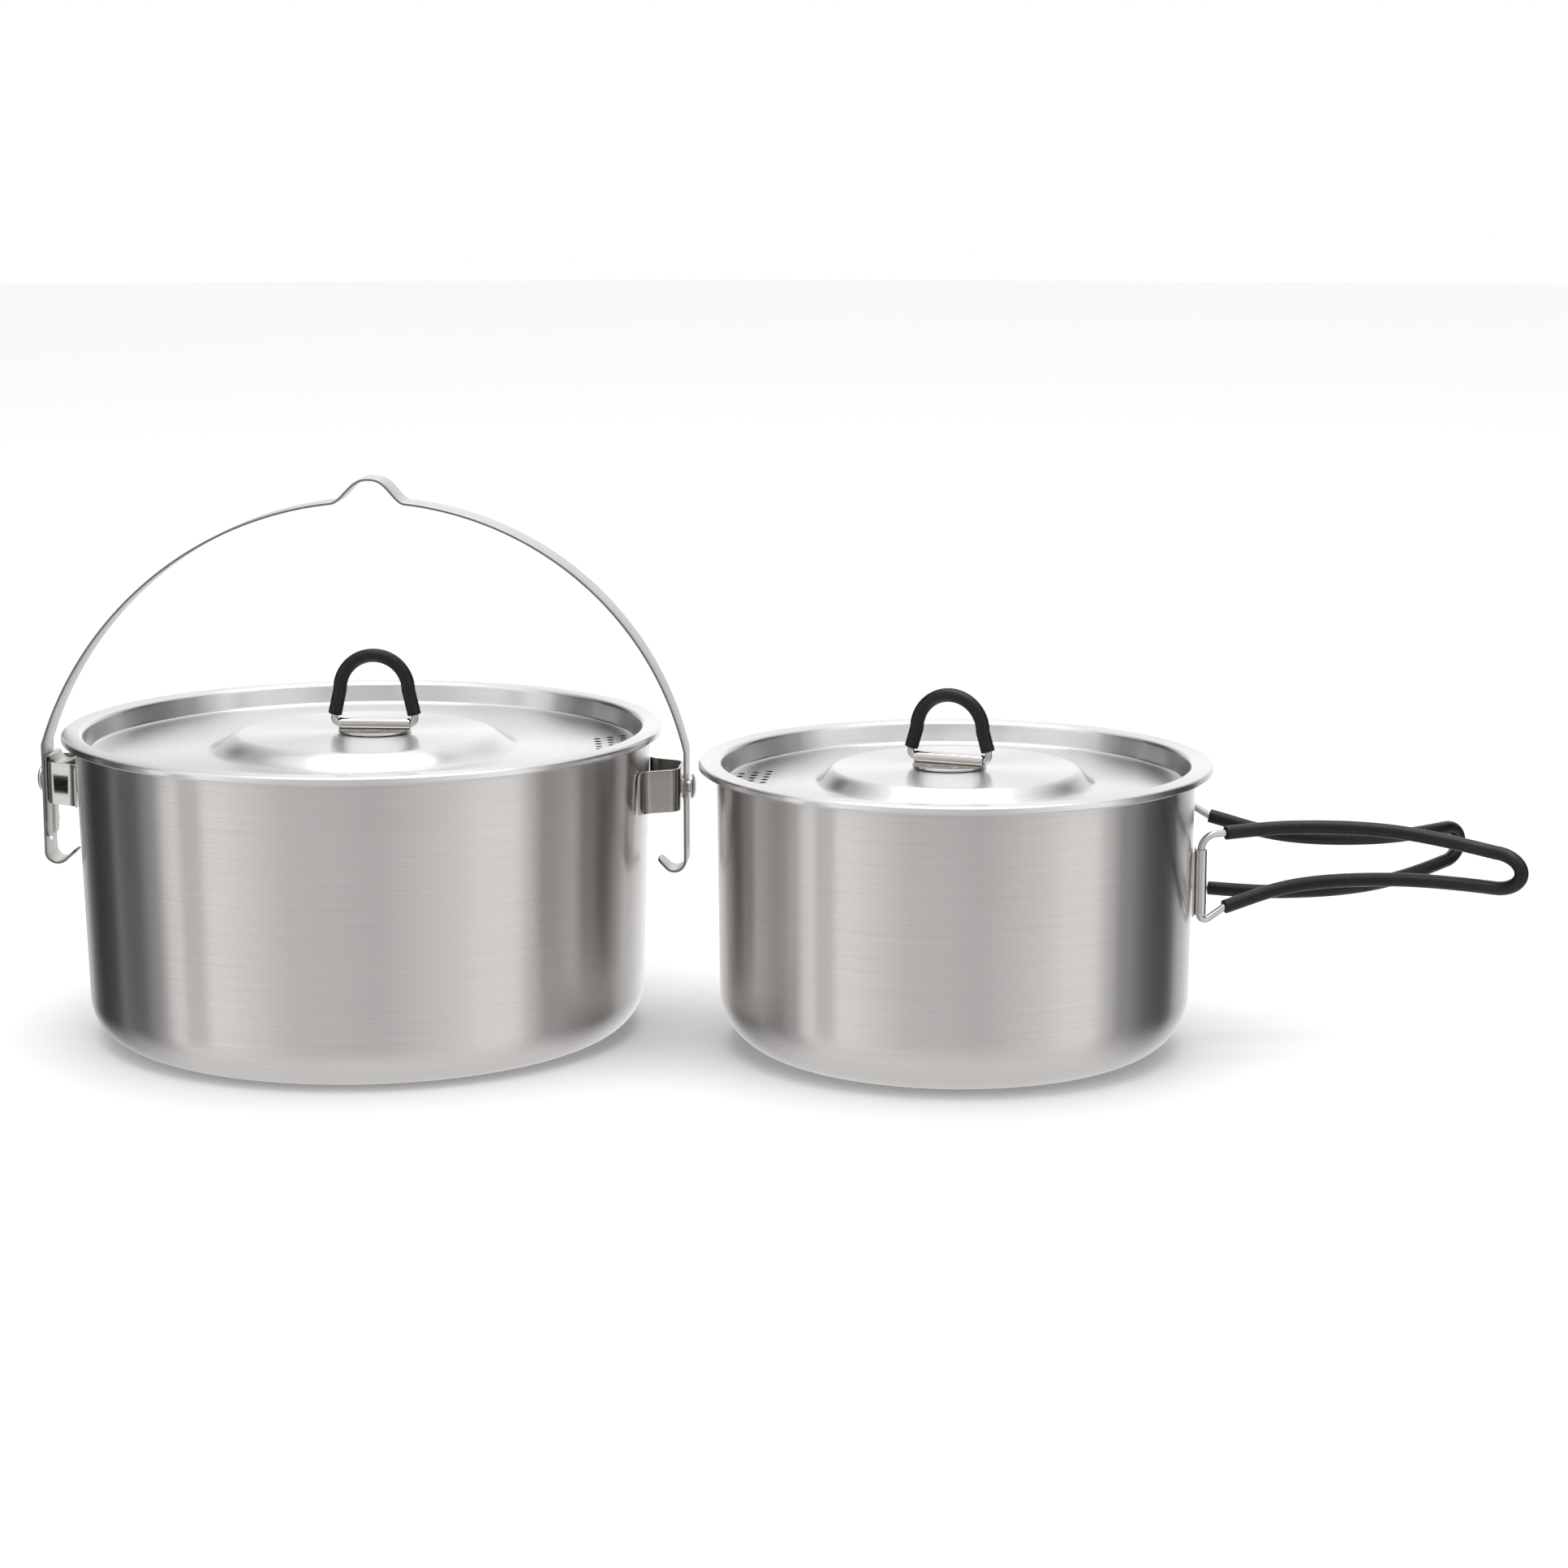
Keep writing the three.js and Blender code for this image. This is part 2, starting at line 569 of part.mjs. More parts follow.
function bail() {
  const right = bailHalf();
  const left = mirrored(right).slice(1);
  const shoulderZ = pivotZ + bailShoulderRise;
  const centre = [...right, ...left].map((p) => {
    const lean = Math.max(p.y - shoulderZ, 0) * Math.tan(radians(BAIL_LEAN));
    return new THREE.Vector2(p.x + lean, p.y);
  });
  let strap = toSolid(extrudedAcross(sheetOutline(centre, BAIL_SHEET), BAIL_WIDTH));
  const reach = bailCentreX + 2;
  for (const z of [pivotZ, pivotZ - BAIL_SLOT_TRAVEL]) {
    strap = strap.subtract(toSolid(barAlongX(rivetHoleR, -reach, reach, z)));
  }
  const slot = new THREE.BoxGeometry(2 * reach, 2 * rivetHoleR, BAIL_SLOT_TRAVEL);
  slot.translate(0, 0, pivotZ - BAIL_SLOT_TRAVEL / 2);
  return toGeometry(strap.subtract(toSolid(slot)));
}

addPart('bail', bail(), satinSteel);

// ---- folding handles ----

const knuckleBottom = -HANDLE_LOWER + HANDLE_LOWER_R;
const knuckleTop = HANDLE_UPPER - HANDLE_UPPER_R;
const knuckleReach = Math.max(-knuckleBottom, knuckleTop);
const handlePlateR = wallRadius(SMALL_POT, handleMidZ + knuckleReach) + GAP;
const hingeR = handlePlateR + HANDLE_PLATE + KNUCKLE_R - KNUCKLE_SINK;

// The handle's loop as it lies flat: X along its length, Y up from the mid height.
function handleLoop() {
  const noseX = HANDLE_LENGTH - HANDLE_NOSE;
  const noseMid = (HANDLE_NOSE_TOP - HANDLE_NOSE_BOTTOM) / 2;
  const noseHalf = (HANDLE_NOSE_TOP + HANDLE_NOSE_BOTTOM) / 2;
  const upperArm = new THREE.SplineCurve([
    new THREE.Vector2(HANDLE_SLEEVE_START, HANDLE_UPPER),
    new THREE.Vector2(HANDLE_LENGTH * 0.3, HANDLE_UPPER + 0.9),
    new THREE.Vector2(HANDLE_LENGTH * 0.6, HANDLE_UPPER),
    new THREE.Vector2(noseX, HANDLE_NOSE_TOP),
  ]);
  const lowerArm = new THREE.SplineCurve([
    new THREE.Vector2(noseX, -HANDLE_NOSE_BOTTOM),
    new THREE.Vector2(HANDLE_LENGTH * 0.6, -HANDLE_WAIST),
    new THREE.Vector2(HANDLE_LENGTH * 0.3, -HANDLE_WAIST - 2.6),
    new THREE.Vector2(HANDLE_SLEEVE_START, -HANDLE_LOWER + HANDLE_ROOT_RISE),
  ]);
  const nose = arcPoints(0, 0, 1, 90, -90, 8).slice(1, -1);
  const butt = (knuckleBottom + knuckleTop) / 2;
  return {
    upperRoot: [
      new THREE.Vector2(0, butt + WIRE_JOINT / 2),
      new THREE.Vector2(0, (butt + knuckleTop) / 2),
      ...arcPoints(HANDLE_UPPER_R, knuckleTop, HANDLE_UPPER_R, 180, 90, 5),
    ],
    sleeved: [
      ...upperArm.getPoints(7),
      ...nose.map((p) => new THREE.Vector2(noseX + HANDLE_NOSE * p.x, noseMid + noseHalf * p.y)),
      ...lowerArm.getPoints(7),
    ],
    lowerRoot: [
      ...arcPoints(HANDLE_LOWER_R, knuckleBottom, HANDLE_LOWER_R, 300, 180, 5),
      new THREE.Vector2(0, (butt + knuckleBottom) / 2),
      new THREE.Vector2(0, butt - WIRE_JOINT / 2),
    ],
  };
}

// Bends the flat loop to its plan curve and stands it at the hinge. side is -1 for the
// front handle and 1 for the rear one, which is the same part turned upside down.
function bentHandle(points, side) {
  const half = HANDLE_LENGTH / 2;
  const base = Math.sqrt(HANDLE_CURVE_R ** 2 - half ** 2);
  return points.map((p) => {
    const along = Math.min(Math.max(p.x, 0), HANDLE_LENGTH);
    const bow = Math.sqrt(HANDLE_CURVE_R ** 2 - (along - half) ** 2) - base;
    return new THREE.Vector3(hingeR + p.x, -side * bow, handleMidZ - side * p.y);
  });
}

// Plate on the pot's wall with an upright knuckle, in which the handle's wire turns.
function handleBracket(side) {
  const ends = [handleMidZ - side * knuckleBottom, handleMidZ - side * knuckleTop];
  const [low, high] = [Math.min(...ends), Math.max(...ends)];
  const innerR = wallRadius(SMALL_POT, high) + GAP;
  const edge = Math.asin(HANDLE_PLATE_HALF / handlePlateR) * THREE.MathUtils.RAD2DEG;
  const outline = [
    ...arcPoints(0, 0, handlePlateR + HANDLE_PLATE, -edge, edge, 6),
    ...arcPoints(0, 0, innerR, edge, -edge, 6),
  ];
  const plate = toSolid(extruded(outline, low, high));
  const knuckleCircle = arcPoints(hingeR, 0, KNUCKLE_R, 0, 342, 19);
  const boreCircle = arcPoints(hingeR, 0, KNUCKLE_BORE_R, 0, 342, 19);
  const knuckle = toSolid(extruded(knuckleCircle, low, high));
  const bore = toSolid(extruded(boreCircle, low - 1, high + 1));
  return toGeometry(plate.add(knuckle).subtract(bore));
}

function addHandle(place, side) {
  const { upperRoot, sleeved, lowerRoot } = handleLoop();
  const azimuth = HANDLE_AZIMUTH + side * HANDLE_SPREAD;
  const loop = bentHandle([...upperRoot, ...sleeved, ...lowerRoot], side);
  addPart(`handle_bracket_${place}`, handleBracket(side), polishedSteel, smallPotX, SMALL_POT_Y, azimuth);
  addPart(`handle_wire_${place}`, wireAlong(loop, WIRE_D / 2, WIRE_SIDES), wireSteel,
    smallPotX, SMALL_POT_Y, azimuth);
  addPart(`handle_sleeve_${place}`,
    wireAlong(bentHandle(sleeved, side), SLEEVE_D / 2, WIRE_SIDES, KNUCKLE_BORE_R), blackSleeve,
    smallPotX, SMALL_POT_Y, azimuth);
}

addHandle('front', -1);
addHandle('rear', 1);

export default set;
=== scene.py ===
import json
import math

import bpy
import numpy as np
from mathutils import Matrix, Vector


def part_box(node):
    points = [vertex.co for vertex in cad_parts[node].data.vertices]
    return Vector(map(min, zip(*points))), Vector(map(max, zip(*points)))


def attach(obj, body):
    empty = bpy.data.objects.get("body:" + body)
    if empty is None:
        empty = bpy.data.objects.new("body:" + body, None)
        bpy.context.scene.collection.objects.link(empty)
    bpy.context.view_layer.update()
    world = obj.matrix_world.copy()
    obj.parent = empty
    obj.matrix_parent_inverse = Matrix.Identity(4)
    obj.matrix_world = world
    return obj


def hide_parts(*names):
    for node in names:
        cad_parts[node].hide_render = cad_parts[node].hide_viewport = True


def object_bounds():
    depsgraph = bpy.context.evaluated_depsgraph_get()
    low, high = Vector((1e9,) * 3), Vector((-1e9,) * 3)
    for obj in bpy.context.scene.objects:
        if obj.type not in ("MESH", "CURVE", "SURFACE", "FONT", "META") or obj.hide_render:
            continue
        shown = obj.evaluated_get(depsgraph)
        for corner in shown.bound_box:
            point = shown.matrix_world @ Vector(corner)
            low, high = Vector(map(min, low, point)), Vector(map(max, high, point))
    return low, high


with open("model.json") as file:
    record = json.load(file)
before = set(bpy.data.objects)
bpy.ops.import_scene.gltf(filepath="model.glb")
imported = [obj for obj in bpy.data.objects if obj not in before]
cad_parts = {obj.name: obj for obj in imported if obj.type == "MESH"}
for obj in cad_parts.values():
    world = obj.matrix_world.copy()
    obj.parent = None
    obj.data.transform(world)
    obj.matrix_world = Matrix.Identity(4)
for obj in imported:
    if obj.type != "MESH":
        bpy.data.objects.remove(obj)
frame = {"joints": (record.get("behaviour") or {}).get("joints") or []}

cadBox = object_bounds()

# Shapes are worked out in millimetres, and makePiece turns them into metres.
metresPerMm = 0.001


def linear(hexText):
    # sRGB hex to linear light
    level = np.array([int(hexText[i:i + 2], 16) for i in (0, 2, 4)]) / 255
    light = np.where(level <= 0.04045, level / 12.92, ((level + 0.055) / 1.055) ** 2.4)
    return (*light, 1.0)


def addNode(tree, kind, inputs=None, **settings):
    # a node with its settings; an input is a value or the socket it is linked to
    node = tree.nodes.new(kind)
    for key, value in settings.items():
        setattr(node, key, value)
    for key, value in (inputs or {}).items():
        if isinstance(value, bpy.types.NodeSocket):
            tree.links.new(value, node.inputs[key])
        else:
            node.inputs[key].default_value = value
    return node


def boxMm(node):
    low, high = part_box(node)
    return np.array(low) / metresPerMm, np.array(high) / metresPerMm


def jointNamed(name):
    return next(j for j in frame["joints"] if j["name"] == name)


def jointPlace(name):
    return np.array(jointNamed(name)["pos_m"]) / metresPerMm


def newMaterial(name, colour, metallic, roughness, **sockets):
    material = bpy.data.materials.new(name)
    material.use_nodes = True
    tree = material.node_tree
    shader = tree.nodes["Principled BSDF"]
    shader.inputs["Base Color"].default_value = linear(colour)
    shader.inputs["Metallic"].default_value = metallic
    shader.inputs["Roughness"].default_value = roughness
    for key, value in sockets.items():
        shader.inputs[key].default_value = value
    return material, tree, shader


def grainedSteel(name, colour, darker, roughness, spread, streakLength, streakPitch, bump,
                 **sockets):
    # steel with grinding marks along the grain map's first direction: two noises, stretched
    # to the marks' length and pitch in millimetres, shift the tone, the gloss and the surface;
    # the quarter turn draws reflections out across the marks
    quarterTurn = {"Anisotropic Rotation": 0.25}
    material, tree, shader = newMaterial(
        name, colour, 1.0, roughness, **quarterTurn, **sockets)
    grain = addNode(tree, "ShaderNodeUVMap", uv_map="grain")
    tangent = addNode(tree, "ShaderNodeTangent", direction_type="UV_MAP", uv_map="grain")
    tree.links.new(tangent.outputs[0], shader.inputs["Tangent"])
    fine = addNode(tree, "ShaderNodeMapping", {
        "Vector": grain.outputs[0], "Scale": (1000 / streakLength, 1000 / streakPitch, 1)})
    fineNoise = addNode(tree, "ShaderNodeTexNoise", {
        "Vector": fine.outputs[0], "Scale": 1.0, "Detail": 4.0, "Roughness": 0.7})
    broad = addNode(tree, "ShaderNodeMapping", {
        "Vector": grain.outputs[0], "Scale": (250 / streakLength, 150 / streakPitch, 1)})
    broadNoise = addNode(tree, "ShaderNodeTexNoise", {
        "Vector": broad.outputs[0], "Scale": 1.0, "Detail": 3.0, "Roughness": 0.6})
    marks = addNode(tree, "ShaderNodeMix", {
        "Factor": 0.22, "A": fineNoise.outputs[0], "B": broadNoise.outputs[0]}, data_type="FLOAT")
    tone = addNode(tree, "ShaderNodeMapRange", {
        "Value": marks.outputs[0], "From Min": 0.35, "From Max": 0.6})
    shades = addNode(tree, "ShaderNodeMix", {
        "Factor": tone.outputs[0], "A": linear(darker), "B": linear(colour)}, data_type="RGBA")
    gloss = addNode(tree, "ShaderNodeMapRange", {
        "Value": marks.outputs[0], "From Min": 0.3, "From Max": 0.7,
        "To Min": roughness + spread, "To Max": roughness - spread})
    relief = addNode(tree, "ShaderNodeBump", {
        "Height": fineNoise.outputs[0], "Strength": bump, "Distance": 0.00005})
    tree.links.new(shades.outputs["Result"], shader.inputs["Base Color"])
    tree.links.new(gloss.outputs[0], shader.inputs["Roughness"])
    tree.links.new(relief.outputs[0], shader.inputs["Normal"])
    return material


# drawn stainless steel, brushed round the wall with a belt: streaks run round, highlights
# spread up and down
brushedBody = grainedSteel(
    "stainless brushed round the body", "cfccca", "c7c4c2", 0.26, 0.015, 60, 0.35, 0.05,
    Anisotropic=0.95)
# pressed stainless sheet with a satin finish: paler and smoother than the bodies
satinLid = grainedSteel(
    "pressed satin stainless", "e0e0e2", "d8d8da", 0.25, 0.015, 50, 0.35, 0.04,
    Anisotropic=0.88)
# stainless strip with a matte rolled face
rolledStrip = grainedSteel(
    "rolled stainless strip", "d2d0cd", "c4c2bf", 0.34, 0.04, 12, 0.4, 0.12,
    Anisotropic=0.4)
# the strip's sheared edge: darker, rougher metal
shearedEdge = grainedSteel(
    "sheared stainless edge", "8f8c87", "6f6c68", 0.42, 0.05, 1.2, 0.5, 0.3)
# wall of a punched hole, torn and dull: its near-black colour is painted shade standing for the
# dark inside of the hole
shadedHoleWall = grainedSteel(
    "punched stainless edge painted dark as hole shade", "2e2d2b", "1c1b1a", 0.6, 0.05, 1.0, 0.4, 0.3)
# bright-rolled sheet, almost a mirror, with faint rolling lines
brightSheet = grainedSteel(
    "bright rolled stainless", "cdcbc8", "c0beba", 0.09, 0.03, 14, 0.5, 0.05)
# drawn wire: bright, with die marks along it
drawnWire = grainedSteel(
    "bright drawn wire", "cdccca", "b0aeab", 0.17, 0.04, 9, 0.35, 0.12)


def blackRubber():
    # extruded silicone sleeve: satin black, with a fine pebble and specks of dust that
    # lighten it; the pebble is drawn at 0.5 mm, coarser than the real one, to show at all
    material, tree, shader = newMaterial(
        "satin black silicone sleeve", "070708", 0.0, 0.36, IOR=1.41)
    place = addNode(tree, "ShaderNodeTexCoord")
    pebble = addNode(tree, "ShaderNodeTexNoise", {
        "Vector": place.outputs["Object"], "Scale": 2000.0, "Detail": 2.0})
    specks = addNode(tree, "ShaderNodeTexNoise", {
        "Vector": place.outputs["Object"], "Scale": 900.0, "Detail": 3.0})
    dust = addNode(tree, "ShaderNodeMapRange", {
        "Value": specks.outputs[0], "From Min": 0.6, "From Max": 0.78})
    shades = addNode(tree, "ShaderNodeMix", {
        "Factor": dust.outputs[0], "A": linear("070708"), "B": linear("262628")}, data_type="RGBA")
    smears = addNode(tree, "ShaderNodeTexNoise", {
        "Vector": place.outputs["Object"], "Scale": 120.0, "Detail": 2.0})
    gloss = addNode(tree, "ShaderNodeMapRange", {
        "Value": smears.outputs[0], "From Min": 0.3, "From Max": 0.7,
        "To Min": 0.28, "To Max": 0.44})
    relief = addNode(tree, "ShaderNodeBump", {
        "Height": pebble.outputs[0], "Strength": 0.15, "Distance": 0.0001})
    tree.links.new(shades.outputs["Result"], shader.inputs["Base Color"])
    tree.links.new(gloss.outputs[0], shader.inputs["Roughness"])
    tree.links.new(relief.outputs[0], shader.inputs["Normal"])
    return material


blackSleeve = blackRubber()
print("materials ready")


def arc(x, y, r, start, end, steps):
    # points at even angles on a circle, in degrees, both ends included
    a = np.radians(np.linspace(start, end, steps + 1))
    return np.column_stack((x + r * np.cos(a), y + r * np.sin(a)))


def between(a, b, steps):
    # points at even spacing between two points, without the two
    t = np.linspace(0, 1, steps + 2)[1:-1, None]
    return np.array(a) * (1 - t) + np.array(b) * t


def sheetOutline(centre, thick):
    # each point of a bent centre line moved half a thickness along its mitre, on the right,
    # then the same on the left, backwards
    step = np.diff(centre, axis=0)
    step /= np.linalg.norm(step, axis=1)[:, None]
    normal = np.column_stack((step[:, 1], -step[:, 0]))
    before = np.vstack((normal[:1], normal))
    after = np.vstack((normal, normal[-1:]))
    mitre = before + after
    mitre /= np.linalg.norm(mitre, axis=1)[:, None]
    mitre *= thick / 2 / np.sum(mitre * after, axis=1)[:, None]
    return np.vstack((centre + mitre, (centre - mitre)[::-1]))


def alongLength(points):
    # distance travelled to each point
    return np.concatenate(([0], np.cumsum(np.linalg.norm(np.diff(points, axis=0), axis=1))))


def tangents(points):
    # direction from the point before to the point after
    step = np.gradient(points, axis=0)
    return step / np.linalg.norm(step, axis=1)[:, None]


def gridShell(rings, closed, us, vs):
    # a grid of points, rings by around, as quads with a wall of rings joined end to end if
    # closed, or a centre point and a fan at each end if not; the grain map is us by vs
    count, around = rings.shape[:2]
    points = rings.reshape(-1, 3)
    rows = np.arange(count if closed else count - 1)[:, None]
    cols = np.arange(around)[None, :]
    nextRow = (rows + 1) % count
    nextCol = (cols + 1) % around
    quads = np.stack((rows * around + cols, rows * around + nextCol,
                      nextRow * around + nextCol, nextRow * around + cols), axis=-1).reshape(-1, 4)
    u0, u1 = us[:-1], us[1:]
    v0, v1 = vs[rows[:, 0]], vs[rows[:, 0] + 1]
    shape = (len(rows), around)
    quadMap = np.stack((
        np.stack((np.broadcast_to(u0, shape), np.broadcast_to(v0[:, None], shape)), -1),
        np.stack((np.broadcast_to(u1, shape), np.broadcast_to(v0[:, None], shape)), -1),
        np.stack((np.broadcast_to(u1, shape), np.broadcast_to(v1[:, None], shape)), -1),
        np.stack((np.broadcast_to(u0, shape), np.broadcast_to(v1[:, None], shape)), -1),
    ), axis=2).reshape(-1, 4, 2)
    if closed:
        return points, quads, np.zeros((0, 3), int), quadMap, np.zeros((0, 3, 2))
    j = np.arange(around)
    first, last = len(points), len(points) + 1
    points = np.vstack((points, rings[0].mean(0), rings[-1].mean(0)))
    base = (count - 1) * around
    fanLow = np.column_stack((np.full(around, first), (j + 1) % around, j))
    fanHigh = np.column_stack((np.full(around, last), base + j, base + (j + 1) % around))
    lowMap = np.stack((np.column_stack((us[:-1], np.full(around, vs[0]))),
                       np.column_stack((us[1:], np.full(around, vs[0]))),
                       np.column_stack((us[:-1], np.full(around, vs[0])))), axis=1)
    highMap = lowMap + np.array([0, vs[count - 1] - vs[0]])
    return (points, quads, np.vstack((fanLow, fanHigh)), quadMap, np.vstack((lowMap, highMap)))


def joined(shells):
    # several shells as one set of points and faces
    points, quads, tris, quadMap, triMap = [], [], [], [], []
    offset = 0
    for shell in shells:
        points.append(shell[0])
        quads.append(shell[1] + offset)
        tris.append(shell[2] + offset)
        quadMap.append(shell[3])
        triMap.append(shell[4])
        offset += len(shell[0])
    return tuple(np.vstack(part) for part in (points, quads, tris, quadMap, triMap))


def facingOut(shell):
    # turns a shell round if the volume that its faces enclose comes out negative
    points, quads, tris, quadMap, triMap = shell
    a, b, c, d = (points[quads[:, i]] for i in range(4))
    volume = np.sum(a * np.cross(b, c)) + np.sum(a * np.cross(c, d))
    if len(tris):
        a, b, c = (points[tris[:, i]] for i in range(3))
        volume += np.sum(a * np.cross(b, c))
    if volume >= 0:
        return shell
    return points, quads[:, ::-1], tris[:, ::-1], quadMap[:, ::-1], triMap[:, ::-1]


def makePiece(name, shells, materials, sharpAngle=35, faceMaterial=None):
    points, quads, tris, quadMap, triMap = joined([facingOut(s) for s in shells])
    mesh = bpy.data.meshes.new(name)
    mesh.from_pydata((points * metresPerMm).tolist(), [], quads.tolist() + tris.tolist())
    grain = mesh.uv_layers.new(name="grain")
    flat = np.concatenate((quadMap.reshape(-1), triMap.reshape(-1))) * metresPerMm
    grain.data.foreach_set("uv", flat.astype(np.float32))
    for material in materials:
        mesh.materials.append(material)
    if faceMaterial is not None:
        mesh.polygons.foreach_set("material_index", faceMaterial.astype(np.int32))
    mesh.shade_smooth()
    mesh.set_sharp_from_angle(angle=math.radians(sharpAngle))
    piece = bpy.data.objects.new(name, mesh)
    bpy.context.scene.collection.objects.link(piece)
    return piece


def cutAway(piece, shells, sharpAngle=35, wallMaterial=0):
    # takes the shells' volume out of the piece; the cut's walls take one of its materials
    cutter = makePiece(piece.name + "_cutter", shells, list(piece.data.materials))
    walls = np.full(len(cutter.data.polygons), wallMaterial, np.int32)
    cutter.data.polygons.foreach_set("material_index", walls)
    cut = piece.modifiers.new("cut", "BOOLEAN")
    cut.operation = "DIFFERENCE"
    cut.solver = "EXACT"
    cut.object = cutter
    seen = piece.evaluated_get(bpy.context.evaluated_depsgraph_get())
    mesh = bpy.data.meshes.new_from_object(seen)
    piece.modifiers.clear()
    old, piece.data = piece.data, mesh
    bpy.data.meshes.remove(old)
    bpy.data.objects.remove(cutter)
    mesh.set_sharp_from_angle(angle=math.radians(sharpAngle))


def turnedShell(profile, around, centre=(0, 0, 0), axis="z"):
    # each profile point (radius, height) carried round the axis; a profile that starts and
    # ends on the axis gets a pole at each end, any other closes on itself
    poles = profile[0, 0] < 1e-6
    ring = profile[1:-1] if poles else profile
    a = np.linspace(0, 2 * np.pi, around, endpoint=False)
    x = ring[:, 0, None] * np.cos(a)
    y = ring[:, 0, None] * np.sin(a)
    z = np.broadcast_to(ring[:, 1, None], x.shape)
    rings = np.stack((x, y, z) if axis == "z" else (z, x, y), axis=-1) + np.array(centre)
    us = np.linspace(0, 2 * np.pi * profile[:, 0].max(), around + 1)
    vs = alongLength(np.vstack((ring, ring[:1])))
    shell = gridShell(rings, not poles, us, vs)
    if poles:
        middle = np.array([[0, 0, profile[0, 1]], [0, 0, profile[-1, 1]]])
        shell[0][-2:] = (middle if axis == "z" else middle[:, [2, 0, 1]]) + np.array(centre)
    return shell


def tubeShell(path, side, outer, bore=0.0, around=28, edge=0.3):
    # circles across a path, in frames made from the path's direction and a side direction;
    # a bored tube runs back along its inside, with rounded rims
    t = tangents(path)
    n = side - np.sum(side * t, axis=1)[:, None] * t
    n /= np.linalg.norm(n, axis=1)[:, None]
    b = np.cross(t, n)
    last = len(path) - 1
    body = np.arange(1, last)
    if bore:
        rim = [(0, edge, bore), (0, edge / 3, bore + edge / 4), (0, 0, bore + edge),
               (0, 0, outer - edge), (0, edge / 3, outer - edge / 4), (0, edge, outer)]
        inside = np.column_stack((body[::-1], np.zeros(last - 1), np.full(last - 1, bore)))
    else:
        rim = [(0, 0, outer * 0.5), (0, 0, outer - edge), (0, edge / 3, outer - edge / 4),
               (0, edge, outer)]
        inside = np.zeros((0, 3))
    rim = np.array(rim)
    otherRim = (rim * [1, -1, 1])[::-1] + [last, 0, 0]
    outside = np.column_stack((body, np.zeros(last - 1), np.full(last - 1, outer)))
    stations = np.vstack((rim, outside, otherRim, inside))
    index = stations[:, 0].astype(int)
    centre = path[index] + t[index] * stations[:, 1, None]
    a = np.linspace(0, 2 * np.pi, around, endpoint=False)[None, :, None]
    rings = centre[:, None] + stations[:, 2, None, None] * (
        np.cos(a) * n[index][:, None] + np.sin(a) * b[index][:, None])
    us = np.linspace(0, 2 * np.pi * outer, around + 1)
    vs = alongLength(np.vstack((centre, centre[:1])))
    points, quads, tris, quadMap, triMap = gridShell(rings, bool(bore), us, vs)
    return points, quads, tris, quadMap[..., ::-1], triMap[..., ::-1]


def strapShell(centre, out, across, halfWidth, thick, edge=0.15):
    # a rounded rectangle carried along a centre line: its long side lies along across, its
    # thickness along out, and its half width may change from point to point
    a = np.concatenate([k * np.pi / 2 + np.linspace(0, np.pi / 2, 4) for k in range(4)])
    wide = np.repeat([1, -1, -1, 1], 4)
    thin = np.repeat([1, 1, -1, -1], 4)
    halfWidth = np.broadcast_to(halfWidth, len(centre))[:, None]
    along = wide * (halfWidth - edge) + edge * np.cos(a)
    through = thin * (thick / 2 - edge) + edge * np.sin(a)
    through = np.broadcast_to(through, along.shape)
    rings = (centre[:, None] + along[..., None] * across[:, None]
             + through[..., None] * out[:, None])
    girth = np.linalg.norm(np.diff(np.vstack((rings[0], rings[0][:1])), axis=0), axis=1)
    us = np.concatenate(([0], np.cumsum(girth)))
    vs = alongLength(centre)
    points, quads, tris, quadMap, triMap = gridShell(rings, False, us, vs)
    return points, quads, tris, quadMap[..., ::-1], triMap[..., ::-1]


def narrowEdges(stations, around=16):
    # material 1 on the strap's two narrow sides and its two ends, material 0 on its faces
    faces = np.zeros((stations - 1, around), int)
    faces[:, [15, 0, 7, 8]] = 1
    return np.concatenate((faces.reshape(-1), np.ones(2 * around, int)))


def finishPiece(piece, node, body):
    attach(piece, body)
    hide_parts(node)


sheet = 0.7
roundSteps = 240
largePot = dict(node="large_pot_body", body="large_pot", baseR=96.9, topR=99.6, cornerR=15.0)
smallPot = dict(node="small_pot_body", body="small_pot", baseR=80.8, topR=81.8, cornerR=20.0)
rimFlareR = 1.5
rimCurlR = 0.8


def potBody(pot):
    low, high = boxMm(pot["node"])
    middle = (low + high) / 2
    half = sheet / 2
    rimZ = high[2] - half
    curlX = (high[0] - low[0]) / 2 - half - rimCurlR
    corner = arc(pot["baseR"] - pot["cornerR"], pot["cornerR"], pot["cornerR"] - half, -90, 0, 14)
    flare = arc(pot["topR"] - half + rimFlareR, rimZ - rimFlareR, rimFlareR, 180, 90, 6)
    base = between((0, half), corner[0], 8)
    wall = between(corner[-1], flare[0], 10)
    curl = arc(curlX, rimZ - rimCurlR, rimCurlR, 90, -45, 8)
    centre = np.vstack(([(0, half)], base, corner, wall, flare, curl))
    shell = turnedShell(sheetOutline(centre, sheet), roundSteps, (middle[0], middle[1], 0))
    piece = makePiece(pot["node"] + "_drawn", [shell], [brushedBody], 50)
    finishPiece(piece, pot["node"], pot["body"])
    return middle[:2]


largeCentre = potBody(largePot)
smallCentre = potBody(smallPot)
print("pots made")


